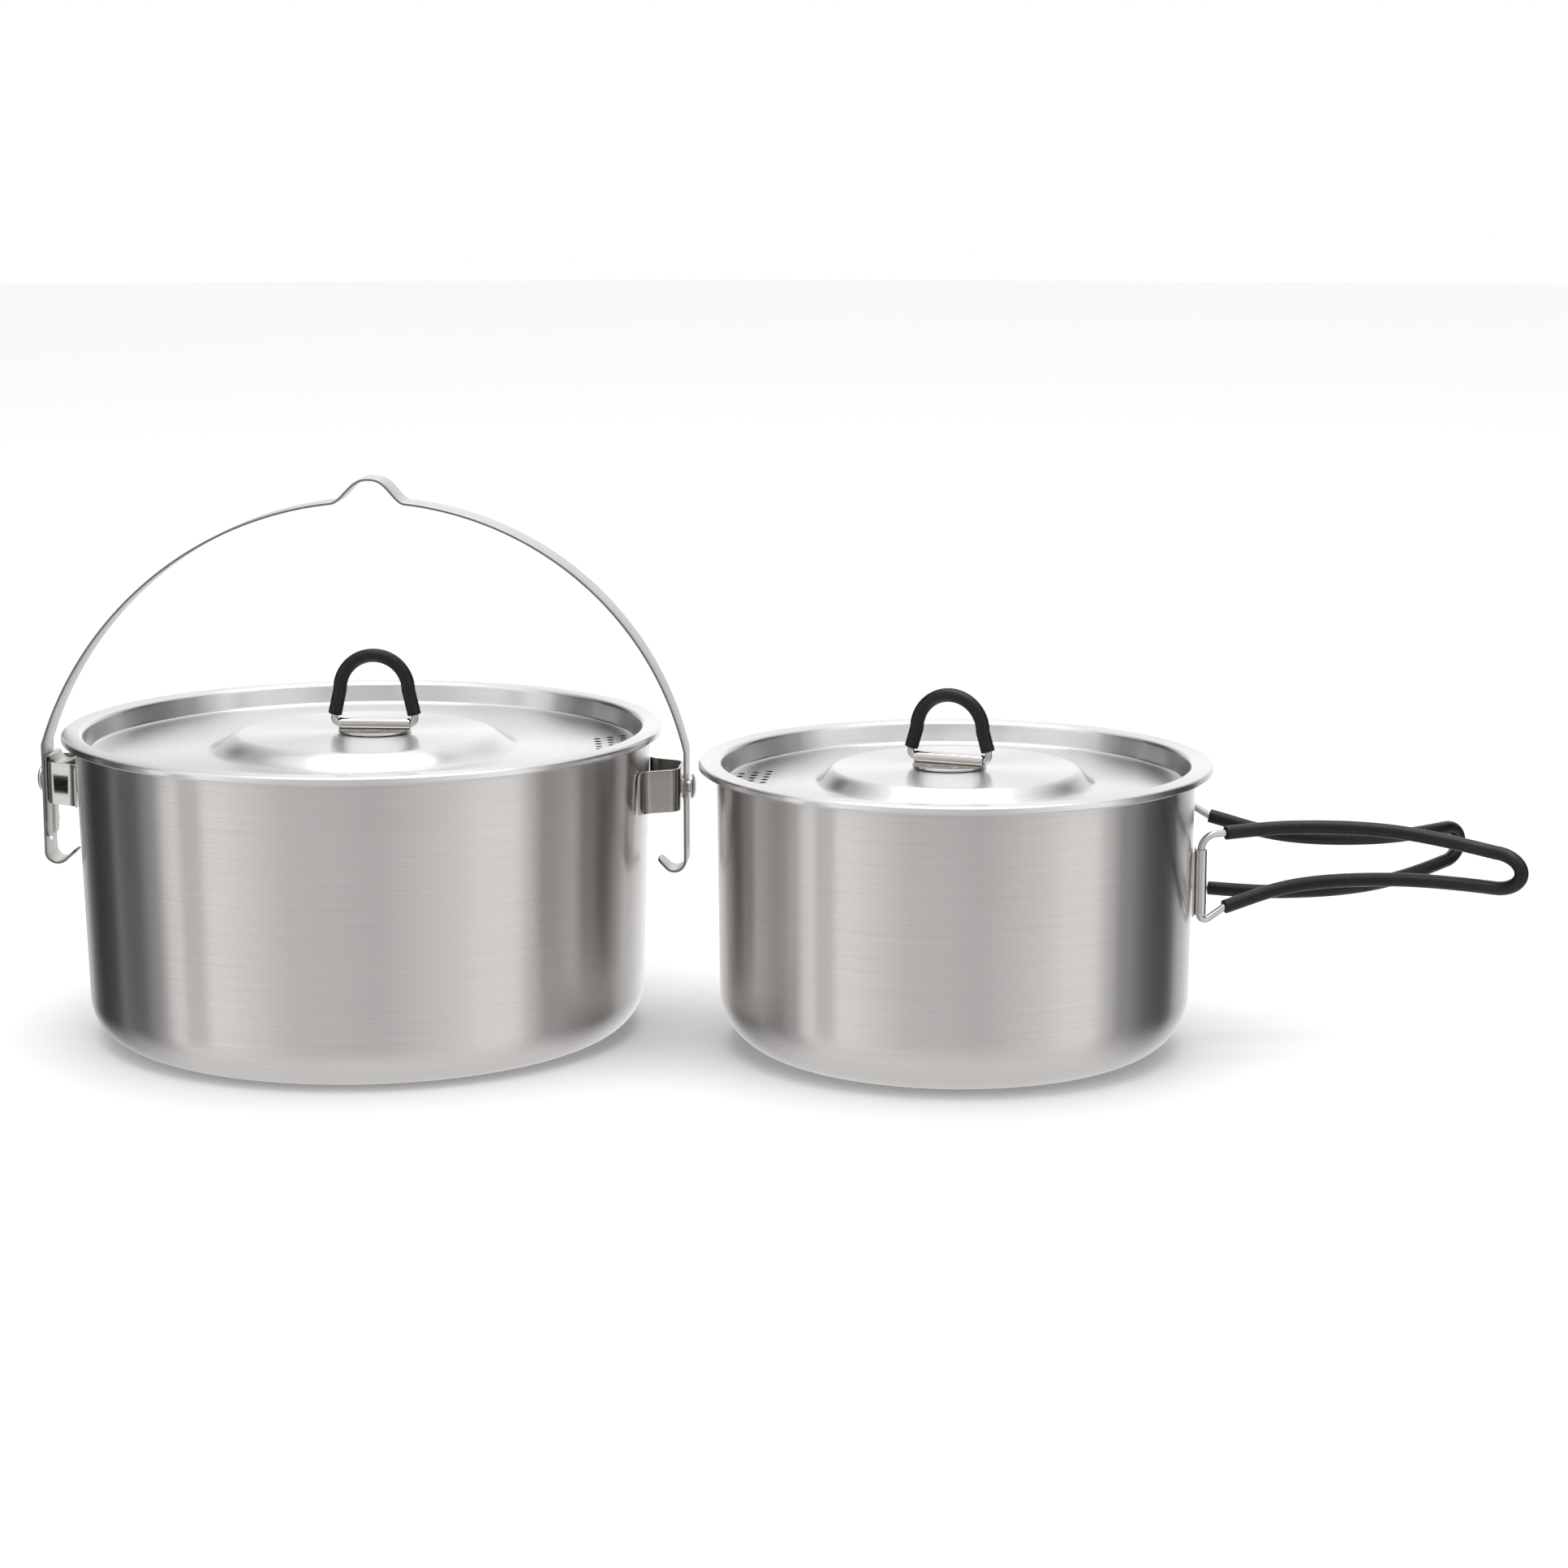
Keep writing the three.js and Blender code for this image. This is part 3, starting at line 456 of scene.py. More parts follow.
largeLid = dict(
    node="large_lid", body="large_lid", centre=largeCentre, recessR=97.2, depth=7.6,
    plateauBaseR=54.5, plateauTopR=43.0, plateauRise=5.3, strainerR=86.0, strainerAzimuth=9)
smallLid = dict(
    node="small_lid", body="small_lid", centre=smallCentre, recessR=80.6, depth=7.8,
    plateauBaseR=48.2, plateauTopR=41.0, plateauRise=5.3, strainerR=70.0, strainerAzimuth=178)
recess = dict(draft=1.0, footR=1.5, topR=1.4, curlR=0.75, skirt=2.1)
strainer = dict(hole=2.5, pitch=5.3, columns=3, rows=5)


def strainerCutter(lid, floor):
    # holes in staggered columns, turned to their place round the lid
    spacing = strainer["pitch"] * math.sin(math.pi / 3)
    column, row = np.meshgrid(np.arange(strainer["columns"]) - 1, np.arange(strainer["rows"]) - 2)
    x = (lid["strainerR"] + column * spacing).reshape(-1)
    y = ((row + column / 2) * strainer["pitch"]).reshape(-1)
    turn = math.radians(lid["strainerAzimuth"])
    xs = lid["centre"][0] + x * math.cos(turn) - y * math.sin(turn)
    ys = lid["centre"][1] + x * math.sin(turn) + y * math.cos(turn)
    r = strainer["hole"] / 2
    hole = np.array([(0, floor - 3), (r, floor - 3), (r, floor + 2), (0, floor + 2)])
    return [turnedShell(hole, 24, (hx, hy, 0)) for hx, hy in zip(xs, ys)]


def lidShell(lid):
    low, high = boxMm(lid["node"])
    half = sheet / 2
    top = high[2]
    flangeR = (high[0] - low[0]) / 2
    floor = top - lid["depth"]
    plateau = floor + lid["plateauRise"]
    wallTopX = lid["recessR"] - half
    footX = wallTopX - recess["draft"]
    u = np.linspace(0, 1, 15)
    ease = u * u * (3 - 2 * u)
    shoulder = np.column_stack((
        lid["plateauTopR"] + (lid["plateauBaseR"] - lid["plateauTopR"]) * u,
        plateau - half - lid["plateauRise"] * ease))
    foot = arc(footX - recess["footR"], floor - half + recess["footR"], recess["footR"], -90, 0, 6)
    lip = arc(wallTopX + recess["topR"], top - half - recess["topR"], recess["topR"], 180, 90, 6)
    edgeX = flangeR - half
    curl = arc(edgeX - recess["curlR"], top - half - recess["curlR"], recess["curlR"], 90, 0, 6)
    centre = np.vstack((
        [(0, plateau - half)], between((0, plateau - half), shoulder[0], 6), shoulder,
        between(shoulder[-1], foot[0], 8), foot, lip, between(lip[-1], curl[0], 2), curl,
        [(edgeX, top - recess["skirt"])]))
    shell = turnedShell(sheetOutline(centre, sheet), roundSteps, (*lid["centre"], 0))
    piece = makePiece(lid["node"] + "_pressed", [shell], [satinLid, shadedHoleWall], 50)
    # the strainer holes' walls take material 1, whose near-black colour is painted shade inside
    # the holes
    cutAway(piece, strainerCutter(lid, floor), 50, 1)
    finishPiece(piece, lid["node"], lid["body"])


lidShell(largeLid)
lidShell(smallLid)
print("lids made")


ring = dict(
    wireR=1.25, sleeveR=2.4, boreR=1.45, joint=0.8, archR=12.0, footHalf=14.2, footR=2.2,
    sleeveStart=3.2, legInset=0.2, wireEdge=0.2, knuckleR=2.05, knuckleBore=1.55,
    knuckleEdge=0.12)
holder = dict(plate=0.8, plateR=12.75, plateEdge=0.25, knuckleHalf=12.5, weldSpread=4.6,
              weldForward=7.0, weldR=1.5, weldDepth=0.35)
largeRing = dict(prefix="large_lid_ring", body="large_lid_ring", lidBody="large_lid",
                 joint="large_ring_fold", height=24.0)
smallRing = dict(prefix="small_lid_ring", body="small_lid_ring", lidBody="small_lid",
                 joint="small_ring_fold", height=22.0)


def ringAxis(name):
    return np.array(jointNamed(name)["axis"])


def standRing(flat, place, axis):
    # a flat outline (along the ring's axis, up) stood at its place
    return place + flat[:, :1] * axis + flat[:, 1:] * np.array([0, 0, 1.0])


def ringPieces(spec):
    place = jointPlace(spec["joint"])
    axis = ringAxis(spec["joint"])
    across = np.cross([0, 0, 1.0], axis)
    archZ = spec["height"] - ring["archR"]
    footX = ring["footHalf"] - ring["footR"]
    foot = np.vstack((
        [(ring["joint"] / 2, 0)], between((ring["joint"] / 2, 0), (footX, 0), 6),
        arc(footX, ring["footR"], ring["footR"], -90, 0, 10)))
    legStart = (ring["footHalf"] - ring["legInset"], ring["sleeveStart"])
    leg = between(legStart, (ring["archR"], archZ), 8)
    sleeved = np.vstack((
        [legStart], leg,
        arc(0, archZ, ring["archR"], 0, 90, 20)))
    other = sleeved[::-1][1:] * [-1, 1]
    arch = np.vstack((sleeved, other))
    loop = np.vstack((foot, arch, foot[::-1] * [-1, 1]))
    path = standRing(loop, place, axis)
    side = np.broadcast_to(across, path.shape)
    wire = makePiece(
        spec["prefix"] + "_wire",
        [tubeShell(path, side, ring["wireR"], edge=ring["wireEdge"])], [drawnWire])
    finishPiece(wire, spec["prefix"], spec["body"])
    path = standRing(arch, place, axis)
    side = np.broadcast_to(across, path.shape)
    sleeve = makePiece(spec["prefix"] + "_grip",
                       [tubeShell(path, side, ring["sleeveR"], ring["boreR"], 36)], [blackSleeve])
    finishPiece(sleeve, spec["prefix"] + "_sleeve", spec["body"])


def holderPiece(spec):
    # a round plate with a weld dimple either side of its front, and the knuckle across it
    node = spec["prefix"] + "_holder"
    low, high = boxMm(node)
    place = jointPlace(spec["joint"])
    axis = ringAxis(spec["joint"])
    across = np.cross([0, 0, 1.0], axis)
    plateLow = low[2]
    plateHigh = plateLow + holder["plate"]
    plateR = holder["plateR"]
    e = holder["plateEdge"]
    lowEdge = arc(plateR - e, plateLow + e, e, -90, 0, 4)
    highEdge = arc(plateR - e, plateHigh - e, e, 0, 90, 4)
    profile = np.vstack(([(0, plateLow)], lowEdge, highEdge,
                         between((plateR - e, plateHigh), (0, plateHigh), 24), [(0, plateHigh)]))
    plate = turnedShell(profile, 96, (place[0], place[1], 0))
    points = plate[0]
    offset = points - place
    u = offset @ axis
    v = offset @ across
    for sideways in (-1, 1):
        d2 = (u - sideways * holder["weldSpread"]) ** 2 + (v + holder["weldForward"]) ** 2
        sunk = holder["weldDepth"] * np.exp(-d2 / holder["weldR"] ** 2)
        points[:, 2] -= np.where(points[:, 2] > plateHigh - 0.05, sunk, 0)
    half = holder["knuckleHalf"]
    path = place + np.linspace(-half, half, 24)[:, None] * axis
    side = np.broadcast_to(across, path.shape)
    knuckle = tubeShell(path, side, ring["knuckleR"], ring["knuckleBore"], 40, ring["knuckleEdge"])
    piece = makePiece(node + "_welded", [plate, knuckle], [brightSheet])
    finishPiece(piece, node, spec["lidBody"])


for spec in (largeRing, smallRing):
    ringPieces(spec)
    holderPiece(spec)
print("lid rings made")


pivotZ = jointPlace("bail_swing")[2]
bail = dict(
    thick=0.9, width=14.0, bowExtra=4.2, bowDrop=18.1, lean=2.6, humpRise=7.6, humpHalf=12.8,
    crownPower=1.3, slotTravel=20.0, slotHalf=2.5, hookDrop=25.2, hookR=4.0, hookTail=4.0,
    hookTurn=135, tipHalf=5.4, tipRound=2.6, taperStart=3, taperLength=9)
bailX = boxMm("bail")[1][0] - bail["thick"] / 2


def roundedEnds(length, halfWidth, corner):
    # half width along a strap whose four corners are quarter circles
    near = np.minimum(length, length[-1] - length)
    inner = np.clip(corner - near, 0, corner)
    return halfWidth - corner + np.sqrt(corner ** 2 - inner ** 2)


def bailPiece():
    bowR = bailX + bail["bowExtra"]
    bowZ = pivotZ - bail["bowDrop"]
    hookX = bailX - bail["hookR"]
    hookZ = pivotZ - bail["hookDrop"]
    hook = arc(hookX, hookZ, bail["hookR"], -bail["hookTurn"], 0, 24)
    turn = math.radians(-bail["hookTurn"])
    tip = hook[0] + bail["hookTail"] * np.array([math.sin(turn), -math.cos(turn)])
    tail = between(tip, hook[0], 12)
    shoulderA = math.degrees(math.acos(bailX / bowR))
    humpA = math.degrees(math.acos(bail["humpHalf"] / bowR))
    bow = arc(0, bowZ, bowR, shoulderA, humpA, 48)
    # the hump is the bow raised by a squared cosine, drawn out to a rounder crown
    x = bail["humpHalf"] * (1 - np.linspace(0, 1, 25)[1:])
    rise = bail["humpRise"] * np.cos(np.pi / 2 * (x / bail["humpHalf"]) ** bail["crownPower"]) ** 2
    hump = np.column_stack((x, bowZ + np.sqrt(bowR ** 2 - x ** 2) + rise))
    arm = between(hook[-1], bow[0], 16)
    right = np.vstack(([tip], tail, hook, arm, bow, hump))
    centre = np.vstack((right, (right[::-1] * [-1, 1])[1:]))
    centre[:, 0] += np.maximum(centre[:, 1] - bow[0, 1], 0) * math.tan(math.radians(bail["lean"]))
    path = np.column_stack((centre[:, 0], np.zeros(len(centre)), centre[:, 1]))
    t = tangents(path)
    across = np.broadcast_to([0, 1.0, 0], path.shape)
    out = np.cross(across, t)
    length = alongLength(path)
    near = np.minimum(length, length[-1] - length)
    half = bail["width"] / 2
    # the tip's corners are round, and the tail widens to the arm over the hook
    taper = bail["tipHalf"] + (half - bail["tipHalf"]) * np.clip(
        (near - bail["taperStart"]) / bail["taperLength"], 0, 1)
    inner = np.clip(bail["tipRound"] - near, 0, bail["tipRound"])
    widths = taper - bail["tipRound"] + np.sqrt(bail["tipRound"] ** 2 - inner ** 2)
    shell = strapShell(path, out, across, widths, bail["thick"], 0.14)
    piece = makePiece("bail_strap", [shell], [rolledStrip, shearedEdge], 40,
                      narrowEdges(len(path)))
    reach = bailX + 3
    slot = np.vstack((arc(0, pivotZ, bail["slotHalf"], 0, 180, 16),
                      arc(0, pivotZ - bail["slotTravel"], bail["slotHalf"], 180, 360, 16)))
    ends = np.array([-1, 1]) * reach
    rings = np.stack([np.column_stack((np.full(len(slot), e), slot)) for e in ends])
    us = np.linspace(0, 40, len(slot) + 1)
    cutAway(piece, [gridShell(rings, False, us, np.array([0.0, 1.0]))], 40)
    finishPiece(piece, "bail", "bail")


bailPiece()

bracket = dict(
    thick=0.8, height=14.8, gap=0.3, potHeight=106.0, endHalf=10.4, cornerR=5.0, rootHalf=13.6,
    flangeHalf=19.2, tipRound=3.0, bendReach=2.6, bendInset=1.2, bendLead=1.6, bendTrail=2.0,
    holeR=2.5)


def bracketPiece(side):
    node = "bail_bracket_right" if side > 0 else "bail_bracket_left"
    low, high = boxMm(node)
    outerX = max(abs(low[0]), abs(high[0]))
    half = bracket["thick"] / 2
    topZ = high[2]
    wallTop = bracket["potHeight"] - sheet / 2 - rimFlareR
    taper = (topZ - largePot["cornerR"]) / (wallTop - largePot["cornerR"])
    wallR = largePot["baseR"] + (largePot["topR"] - largePot["baseR"]) * taper
    wallR += bracket["gap"] + half
    tipA = -math.degrees(math.asin(bracket["flangeHalf"] / wallR))
    rootA = -math.degrees(math.asin((bracket["rootHalf"] + bracket["bendReach"]) / wallR))
    cornerX = outerX - bracket["cornerR"]
    cornerY = -(bracket["endHalf"] - bracket["cornerR"] + half)
    flange = arc(0, 0, wallR, tipA, rootA, 8)
    corner = arc(cornerX, cornerY, bracket["cornerR"] - half, -60, 0, 12)
    # the bend off the wall is a cubic from the flange's end to the straight side
    t = np.linspace(0, 1, 12)[1:-1, None]
    start = flange[-1]
    end = np.array([wallR + bracket["bendReach"], -bracket["rootHalf"] + bracket["bendInset"]])
    leaving = (start - flange[-2]) / np.linalg.norm(start - flange[-2])
    arriving = (corner[0] - end) / np.linalg.norm(corner[0] - end)
    lead = start + leaving * bracket["bendLead"]
    trail = end - arriving * bracket["bendTrail"]
    bend = ((1 - t) ** 3 * start + 3 * (1 - t) ** 2 * t * lead + 3 * (1 - t) * t ** 2 * trail
            + t ** 3 * end)
    halfPlan = np.vstack((flange, bend, [end], between(end, corner[0], 5), corner))
    middle = between(corner[-1], corner[-1] * [1, -1], 9)
    plan = np.vstack((halfPlan, middle, halfPlan[::-1] * [1, -1]))
    path = np.column_stack((plan * side, np.full(len(plan), pivotZ)))
    path[:, 1] *= side
    t = tangents(path)
    across = np.broadcast_to([0, 0, 1.0], path.shape)
    out = np.cross(t, across)
    tall = (high[2] - low[2]) / 2
    widths = roundedEnds(alongLength(path), tall, bracket["tipRound"])
    piece = makePiece(node + "_strap", [strapShell(path, out, across, widths, bracket["thick"])],
                      [brightSheet, rolledStrip], 40, narrowEdges(len(path)))
    ends = np.array([-4.0, 3.0]) + outerX
    r = bracket["holeR"]
    hole = np.array([(0, ends[0]), (r, ends[0]), (r, ends[1]), (0, ends[1])]) * [1, side]
    cutAway(piece, [turnedShell(hole, 32, (0, 0, pivotZ), "x")], 40)
    finishPiece(piece, node, "large_pot")


bracketPiece(1)
bracketPiece(-1)

rivet = dict(shankR=2.2, headR=4.45, head=1.8, lip=0.35, headEdge=0.1, tailR=3.4, tail=0.9,
             tailEdge=0.3)


def rivetPiece(side):
    node = "bail_rivet_right" if side > 0 else "bail_rivet_left"
    low, high = boxMm(node)
    inner, outer = sorted((abs(low[0]), abs(high[0])))
    headX = outer - rivet["head"]
    # the head is a shallow dome, and its rim and the peened tail have rounded edges
    u = np.linspace(0, 1, 14)
    dome = np.column_stack((rivet["headR"] * np.cos(u * np.pi / 2),
                            headX + rivet["lip"] + (rivet["head"] - rivet["lip"])
                            * np.sin(u * np.pi / 2)))
    dome[-1, 0] = 0
    e = rivet["tailEdge"]
    tailRim = arc(rivet["tailR"] - e, inner + e, e, -90, 0, 5)
    profile = np.vstack(([(0, inner), (rivet["tailR"] * 0.5, inner)], tailRim,
                         [(rivet["tailR"], inner + rivet["tail"]),
                          (rivet["shankR"], inner + rivet["tail"]), (rivet["shankR"], headX),
                          (rivet["headR"] - rivet["headEdge"], headX)], dome))
    shell = turnedShell(profile * [1, side], 64, (0, 0, pivotZ), "x")
    piece = makePiece(node + "_headed", [shell], [drawnWire])
    finishPiece(piece, node, "bail_pivot")


rivetPiece(1)
rivetPiece(-1)

washer = dict(boreR=2.5, edge=0.12)


def washerPiece():
    low, high = boxMm("bail_washer")
    outerR = (high[1] - low[1]) / 2
    boreR, e = washer["boreR"], washer["edge"]
    profile = np.array([(boreR, low[0] + e), (boreR + e, low[0]), (outerR - e, low[0]),
                        (outerR, low[0] + e), (outerR, high[0] - e), (outerR - e, high[0]),
                        (boreR + e, high[0]), (boreR, high[0] - e)])
    piece = makePiece("bail_washer_stamped", [turnedShell(profile, 64, (0, 0, pivotZ), "x")],
                      [drawnWire])
    finishPiece(piece, "bail_washer", "large_pot")


washerPiece()

stop = dict(
    thick=0.6, tail=20.0, prongHalf=7.0, tipRound=2.2, clear=0.8, bump=0.8, bumpZ=4.2,
    bumpLength=1.3, forkHalf=2.5, forkCut=1.5, tabEnd=0.2, tabGap=0.1,
    dip=((0.9, 1.5), (2.9, 2.4), (5.6, 1.7)))


def stopPlatePiece():
    # a strip up the bracket's end, over a tight bend, and across to the wall in a shallow dip
    low, high = boxMm("bail_stop_plate")
    x = -low[0] - stop["thick"] / 2
    bracketX = -boxMm("bail_bracket_left")[0][0]
    innerX = bracketX - bracket["thick"] - bracket["gap"] - stop["thick"] / 2
    bendR = (x - innerX) / 2
    turnZ = pivotZ + bracket["height"] / 2 + stop["clear"]
    tabX = x - 2 * bendR
    endX = -high[0] + stop["tabGap"]
    up = between((x, pivotZ - stop["tail"]), (x, turnZ), 60)
    bend = arc(x - bendR, turnZ, bendR, 0, 180, 14)
    dips = [(tabX - inward, turnZ - down) for inward, down in stop["dip"]]
    knots = np.array([(tabX, turnZ), *dips, (endX, turnZ + stop["tabEnd"])])
    # the dip is a quadratic B-spline through the corners' middles
    u = np.linspace(0, 1, 8)[:-1, None]
    corners = knots[1:-1]
    starts = np.vstack((knots[:1], (knots[1:-2] + knots[2:-1]) / 2))
    stops = np.vstack(((knots[1:-2] + knots[2:-1]) / 2, knots[-1:]))
    dip = ((1 - u) ** 2 * starts[:, None] + 2 * (1 - u) * u * corners[:, None]
           + u ** 2 * stops[:, None])
    flat = np.vstack(([(x, pivotZ - stop["tail"])], up, bend, dip.reshape(-1, 2)[1:], knots[-1:]))
    path = np.column_stack((-flat[:, 0], np.zeros(len(flat)), flat[:, 1]))
    t = tangents(path)
    across = np.broadcast_to([0, 1.0, 0], path.shape)
    out = np.cross(across, t)
    length = alongLength(path)
    widths = roundedEnds(length, stop["prongHalf"], stop["tipRound"])
    bumpShare = (length - stop["bumpZ"]) / stop["bumpLength"]
    widths = widths + stop["bump"] * np.exp(-bumpShare ** 2)
    strip = strapShell(path, out, across, widths, stop["thick"], 0.1)
    piece = makePiece("bail_stop_plate_bent", [strip], [rolledStrip, shearedEdge], 40,
                      narrowEdges(len(path)))
    bottom = pivotZ - stop["tail"] - 2
    fork = np.vstack((arc(0, pivotZ, stop["forkHalf"], 0, 180, 16),
                      [(-stop["forkHalf"], bottom), (stop["forkHalf"], bottom)]))
    ends = (x - stop["forkCut"], x + stop["forkCut"])
    rings = np.stack([np.column_stack((np.full(len(fork), -e), fork)) for e in ends])
    us = np.linspace(0, 40, len(fork) + 1)
    cutAway(piece, [gridShell(rings, False, us, np.array([0.0, 1.0]))], 40)
    finishPiece(piece, "bail_stop_plate", "large_pot")


stopPlatePiece()
print("bail made")


handle = dict(
    length=107.2, curveR=95.0, upper=12.8, upperR=5.0, lower=16.7, lowerR=1.8, rootRise=3.7,
    waist=4.0, noseTop=8.6, noseBottom=3.6, nose=8.4, sleeveStart=8.0,
    early=0.3, late=0.6, crown=0.9, sag=2.6, buttGap=0.4, plate=0.6, plateHalf=6.5,
    plateRound=2.6, knuckleSink=0.25)


def smoothThrough(knots, steps):
    # Catmull-Rom curve through the knots, the ends carried on in a straight line
    p = np.vstack((2 * knots[0] - knots[1], knots, 2 * knots[-1] - knots[-2]))
    t = np.linspace(0, 1, steps + 1)[:-1, None, None]
    a, b, c, d = p[:-3], p[1:-2], p[2:-1], p[3:]
    curve = 0.5 * (2 * b + (c - a) * t + (2 * a - 5 * b + 4 * c - d) * t ** 2
                   + (3 * b - a - 3 * c + d) * t ** 3)
    return np.vstack((curve.transpose(1, 0, 2).reshape(-1, 2), knots[-1:]))


def handleOutline():
    length = handle["length"]
    noseX = length - handle["nose"]
    mid = (handle["noseTop"] - handle["noseBottom"]) / 2
    half = (handle["noseTop"] + handle["noseBottom"]) / 2
    upper = smoothThrough(np.array([
        (handle["sleeveStart"], handle["upper"]),
        (length * handle["early"], handle["upper"] + handle["crown"]),
        (length * handle["late"], handle["upper"]), (noseX, handle["noseTop"])]), 16)
    lower = smoothThrough(np.array([
        (noseX, -handle["noseBottom"]), (length * handle["late"], -handle["waist"]),
        (length * handle["early"], -handle["waist"] - handle["sag"]),
        (handle["sleeveStart"], -handle["lower"] + handle["rootRise"])]), 16)
    a = np.radians(np.linspace(90, -90, 25)[1:-1])
    nose = np.column_stack((noseX + handle["nose"] * np.cos(a), mid + half * np.sin(a)))
    top = handle["upper"] - handle["upperR"]
    bottom = -handle["lower"] + handle["lowerR"]
    butt = (top + bottom) / 2
    upperRoot = np.vstack((
        [(0, butt + handle["buttGap"])], between((0, butt + handle["buttGap"]), (0, top), 5),
        arc(handle["upperR"], top, handle["upperR"], 180, 90, 12),
        between((handle["upperR"], handle["upper"]), upper[0], 2)))
    bend = arc(handle["lowerR"], bottom, handle["lowerR"], 300, 180, 10)
    lowerRoot = np.vstack((between(lower[-1], bend[0], 4), bend,
                           between(bend[-1], (0, butt - handle["buttGap"]), 5),
                           [(0, butt - handle["buttGap"])]))
    return upperRoot, np.vstack((upper, nose, lower)), lowerRoot


def handlePieces(place, side):
    hinge = jointPlace(place + "_handle_fold")
    away = hinge[:2] - smallCentre
    outward = np.array([*(away / np.linalg.norm(away)), 0])
    left = np.cross([0, 0, 1.0], outward)
    half = handle["length"] / 2
    base = math.sqrt(handle["curveR"] ** 2 - half ** 2)

    def bent(flat):
        # the flat loop laid on an upright cylinder of the handle's plan curve, with its
        # side direction square to that cylinder
        s = np.clip(flat[:, 0], 0, handle["length"])
        bow = np.sqrt(handle["curveR"] ** 2 - (s - half) ** 2) - base
        path = (hinge + flat[:, :1] * outward - side * bow[:, None] * left
                - side * flat[:, 1:] * np.array([0, 0, 1.0]))
        slope = -(s - half) / np.sqrt(handle["curveR"] ** 2 - (s - half) ** 2)
        square = left + side * slope[:, None] * outward
        return path, square

    upperRoot, sleeved, lowerRoot = handleOutline()
    path, square = bent(np.vstack((upperRoot, sleeved, lowerRoot)))
    body = "handle_" + place
    rod = tubeShell(path, square, ring["wireR"], edge=ring["wireEdge"])
    wire = makePiece("handle_rod_" + place, [rod], [drawnWire])
    finishPiece(wire, "handle_wire_" + place, body)
    path, square = bent(sleeved)
    grip = tubeShell(path, square, ring["sleeveR"], ring["boreR"], 36)
    sleeve = makePiece("handle_grip_" + place, [grip], [blackSleeve])
    finishPiece(sleeve, "handle_sleeve_" + place, body)


def handleBracket(place):
    # a curved plate with rounded corners on the wall, and the upright knuckle on it
    node = "handle_bracket_" + place
    low, high = boxMm(node)
    hinge = jointPlace(place + "_handle_fold")
    away = hinge[:2] - smallCentre
    hingeR = np.linalg.norm(away)
    azimuth = math.atan2(away[1], away[0])
    thick = handle["plate"]
    plateR = hingeR - ring["knuckleR"] + handle["knuckleSink"] - thick / 2
    spread = math.asin(handle["plateHalf"] / plateR)
    midZ = (low[2] + high[2]) / 2
    # corners need close stations, so the steps bunch towards both ends
    bunched = np.sin(np.linspace(-np.pi / 2, np.pi / 2, 40))
    a = azimuth + spread * bunched
    out = np.column_stack((np.cos(a), np.sin(a), np.zeros(len(a))))
    path = out * plateR + [*smallCentre, midZ]
    across = np.broadcast_to([0, 0, 1.0], path.shape)
    widths = roundedEnds(alongLength(path), (high[2] - low[2]) / 2, handle["plateRound"])
    plate = strapShell(path, out, across, widths, thick, 0.1)
    upright = np.column_stack((np.full(20, hinge[0]), np.full(20, hinge[1]),
                               np.linspace(low[2], high[2], 20)))
    side = np.broadcast_to([math.cos(azimuth), math.sin(azimuth), 0.0], upright.shape)
    knuckle = tubeShell(upright, side, ring["knuckleR"], ring["knuckleBore"], 40,
                        ring["knuckleEdge"])
    piece = makePiece(node + "_rolled", [plate, knuckle], [brightSheet])
    finishPiece(piece, node, "small_pot")


for place, side in (("front", -1), ("rear", 1)):
    handlePieces(place, side)
    handleBracket(place)
print("handles made")


floorSizes = dict(radius=6000.0, thick=4.0, edge=2, drop=0.05)
setMiddle = (np.array(cadBox[0]) + np.array(cadBox[1])) / 2 / metresPerMm


def floorPiece():
    # a wide pale disc with a softly rounded edge
    material, tree, shader = newMaterial("matte pale tabletop", "fbfbfb", 0.0, 0.75)
    place = addNode(tree, "ShaderNodeTexCoord")
    mottle = addNode(tree, "ShaderNodeTexNoise", {
        "Vector": place.outputs["Object"], "Scale": 3.0, "Detail": 2.0})
    gloss = addNode(tree, "ShaderNodeMapRange", {
        "Value": mottle.outputs[0], "To Min": 0.7, "To Max": 0.82})
    tree.links.new(gloss.outputs[0], shader.inputs["Roughness"])
    r, thick, e = floorSizes["radius"], floorSizes["thick"], floorSizes["edge"]
    profile = np.vstack(([(0, -thick)], [(r - e, -thick)], arc(r - e, -e, e, 0, 90, 4), [(0, 0)]))
    profile[:, 1] -= floorSizes["drop"]
    floor = makePiece("tabletop", [turnedShell(profile, 128, (setMiddle[0], setMiddle[1], 0))],
                      [material])
    floor.visible_glossy = False    # the metal sees the studio's own pale lower half instead


floorPiece()

# how bright the studio is by direction, in degrees anticlockwise from the bail's axis: white
# walls behind, soft boxes to the front left and right, and a dark gap behind each box
studio = [(-176, 0.32), (-170, 0.38), (-168, 1.0), (-156, 1.12), (-141, 1.1), (-126, 0.92),
          (-110, 0.72), (-93, 0.69), (-76, 0.62), (-60, 0.76), (-43, 0.92), (-33, 1.08),
          (-16, 1.12), (-13, 0.78), (-5, 0.62), (-3, 0.3), (5, 0.34), (10, 0.2), (16, 0.12),
          (29, 0.05), (42, 0.09), (46, 0.5), (64, 0.85), (79, 1.1), (100, 1.15), (110, 0.8),
          (124, 0.6), (128, 0.2), (140, 0.03), (159, 0.06), (162, 0.4), (165, 0.1)]
# a black card low to the front left: its direction round the upright axis and its half width in
# degrees, and how far below the horizon it lies, as the direction's upright part
card = dict(middle=-153.0, half=5.5, low=-0.27, high=-0.09)
zenithLight = 1.25
floorLight = 0.95
overhead = dict(height=1.9, size=1.8, power=16.0)


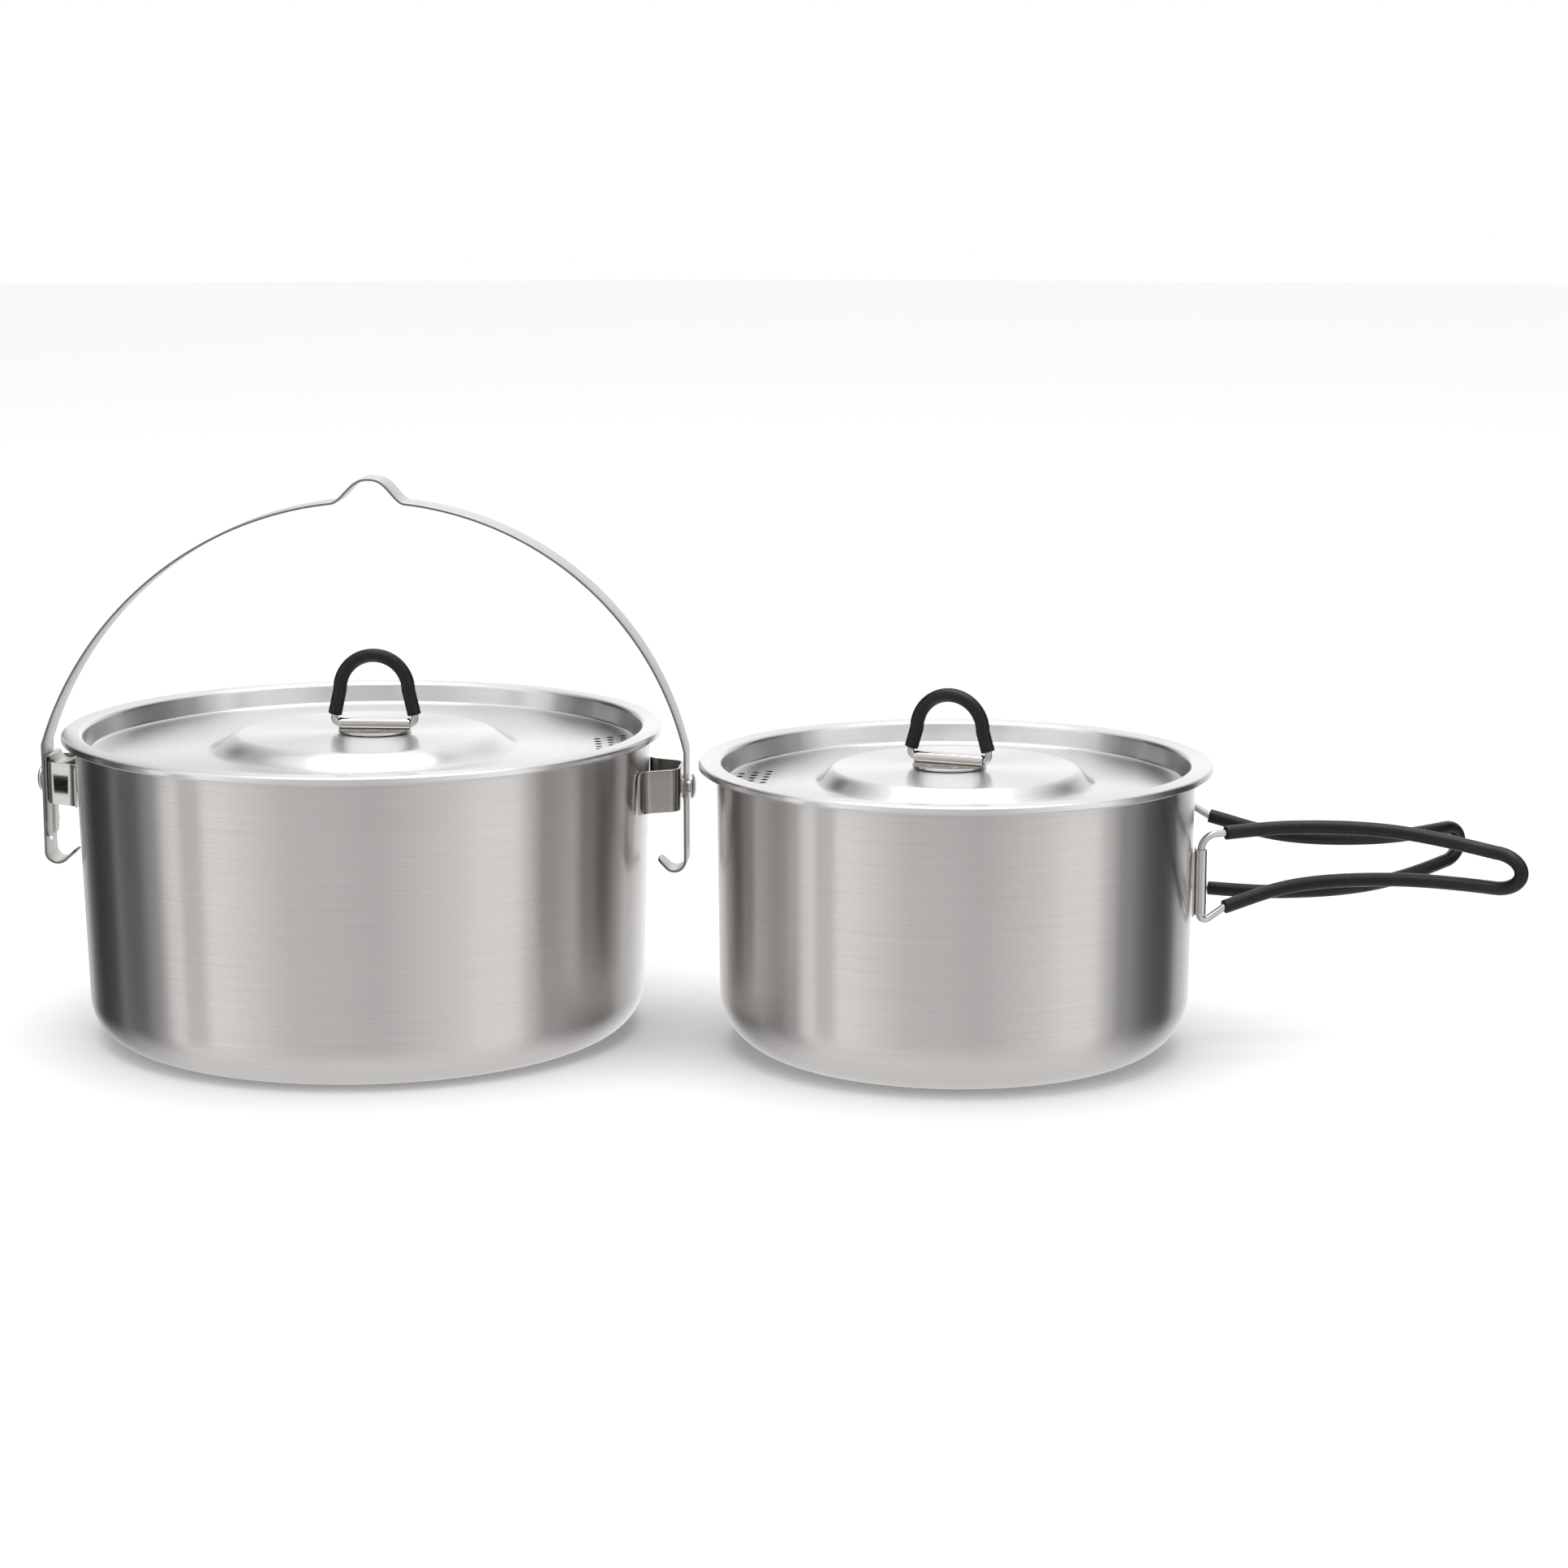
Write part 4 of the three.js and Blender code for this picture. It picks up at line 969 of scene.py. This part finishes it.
def studioWorld():
    # the direction's angle round the upright axis picks a level from the list above, which
    # fades to the ceiling's level as the direction climbs and to the floor's as it drops
    world = bpy.data.worlds.new("studio")
    bpy.context.scene.world = world
    world.use_nodes = True
    tree = world.node_tree
    tree.nodes.clear()
    place = addNode(tree, "ShaderNodeTexCoord")
    parts = addNode(tree, "ShaderNodeSeparateXYZ", {0: place.outputs["Generated"]})
    turn = addNode(tree, "ShaderNodeMath", {0: parts.outputs[1], 1: parts.outputs[0]},
                   operation="ARCTAN2")
    share = addNode(tree, "ShaderNodeMapRange", {
        "Value": turn.outputs[0], "From Min": -math.pi, "From Max": math.pi})
    ramp = addNode(tree, "ShaderNodeValToRGB", {0: share.outputs[0]})
    aside = addNode(tree, "ShaderNodeMath", {
        0: turn.outputs[0], 1: math.radians(card["middle"]), 2: math.radians(card["half"])},
        operation="COMPARE")
    height = addNode(tree, "ShaderNodeMath", {
        0: parts.outputs[2], 1: (card["low"] + card["high"]) / 2,
        2: (card["high"] - card["low"]) / 2}, operation="COMPARE")
    onCard = addNode(tree, "ShaderNodeMath", {0: aside.outputs[0], 1: height.outputs[0]},
                     operation="MULTIPLY")
    stops = ramp.color_ramp.elements
    peak = max(brightness for _, brightness in studio)
    while len(stops) < len(studio):
        stops.new(0.5)
    for rampStop, (angle, brightness) in zip(stops, studio):
        rampStop.position = (angle + 180) / 360
        rampStop.color = (brightness / peak, brightness / peak, brightness / peak, 1)
    sink = addNode(tree, "ShaderNodeMapRange", {
        "Value": parts.outputs[2], "From Min": -0.3, "From Max": -0.75})
    lower = addNode(tree, "ShaderNodeMix", {
        "Factor": sink.outputs[0], "A": ramp.outputs[0],
        "B": (floorLight / peak, floorLight / peak, floorLight / peak, 1)}, data_type="RGBA")
    climb = addNode(tree, "ShaderNodeMapRange", {
        "Value": parts.outputs[2], "From Min": 0.45, "From Max": 0.85})
    level = addNode(tree, "ShaderNodeMix", {
        "Factor": climb.outputs[0], "A": lower.outputs["Result"],
        "B": (zenithLight / peak, zenithLight / peak, zenithLight / peak, 1)}, data_type="RGBA")
    carded = addNode(tree, "ShaderNodeMix", {
        "Factor": onCard.outputs[0], "A": level.outputs["Result"], "B": (0.01, 0.01, 0.01, 1)},
        data_type="RGBA")
    lit = addNode(tree, "ShaderNodeBackground", {0: carded.outputs["Result"], 1: peak})
    seen = addNode(tree, "ShaderNodeBackground", {0: (1, 1, 1, 1), 1: 1.0})
    rays = addNode(tree, "ShaderNodeLightPath")
    both = addNode(tree, "ShaderNodeMixShader", {
        0: rays.outputs["Is Camera Ray"], 1: lit.outputs[0], 2: seen.outputs[0]})
    addNode(tree, "ShaderNodeOutputWorld", {0: both.outputs[0]})


studioWorld()

lamp = bpy.data.lights.new("overhead", "AREA")
lamp.shape = "DISK"
lamp.size = overhead["size"]
lamp.energy = overhead["power"]
lampObject = bpy.data.objects.new("overhead", lamp)
lampObject.location = (setMiddle[0] * metresPerMm, setMiddle[1] * metresPerMm, overhead["height"])
lampObject.visible_camera = False
bpy.context.scene.collection.objects.link(lampObject)

view = dict(place=(0.2328, -1.2301, 0.3149), tilt=79.566, turn=4.0, lens=82.92, sensor=36.0)
camera = bpy.data.cameras.new("camera")
camera.lens = view["lens"]
camera.sensor_width = view["sensor"]
cameraObject = bpy.data.objects.new("camera", camera)
cameraObject.location = view["place"]
cameraObject.rotation_euler = (math.radians(view["tilt"]), 0, math.radians(view["turn"]))
bpy.context.scene.collection.objects.link(cameraObject)
bpy.context.scene.camera = cameraObject
bpy.context.scene.view_settings.view_transform = "Standard"
print("studio ready")
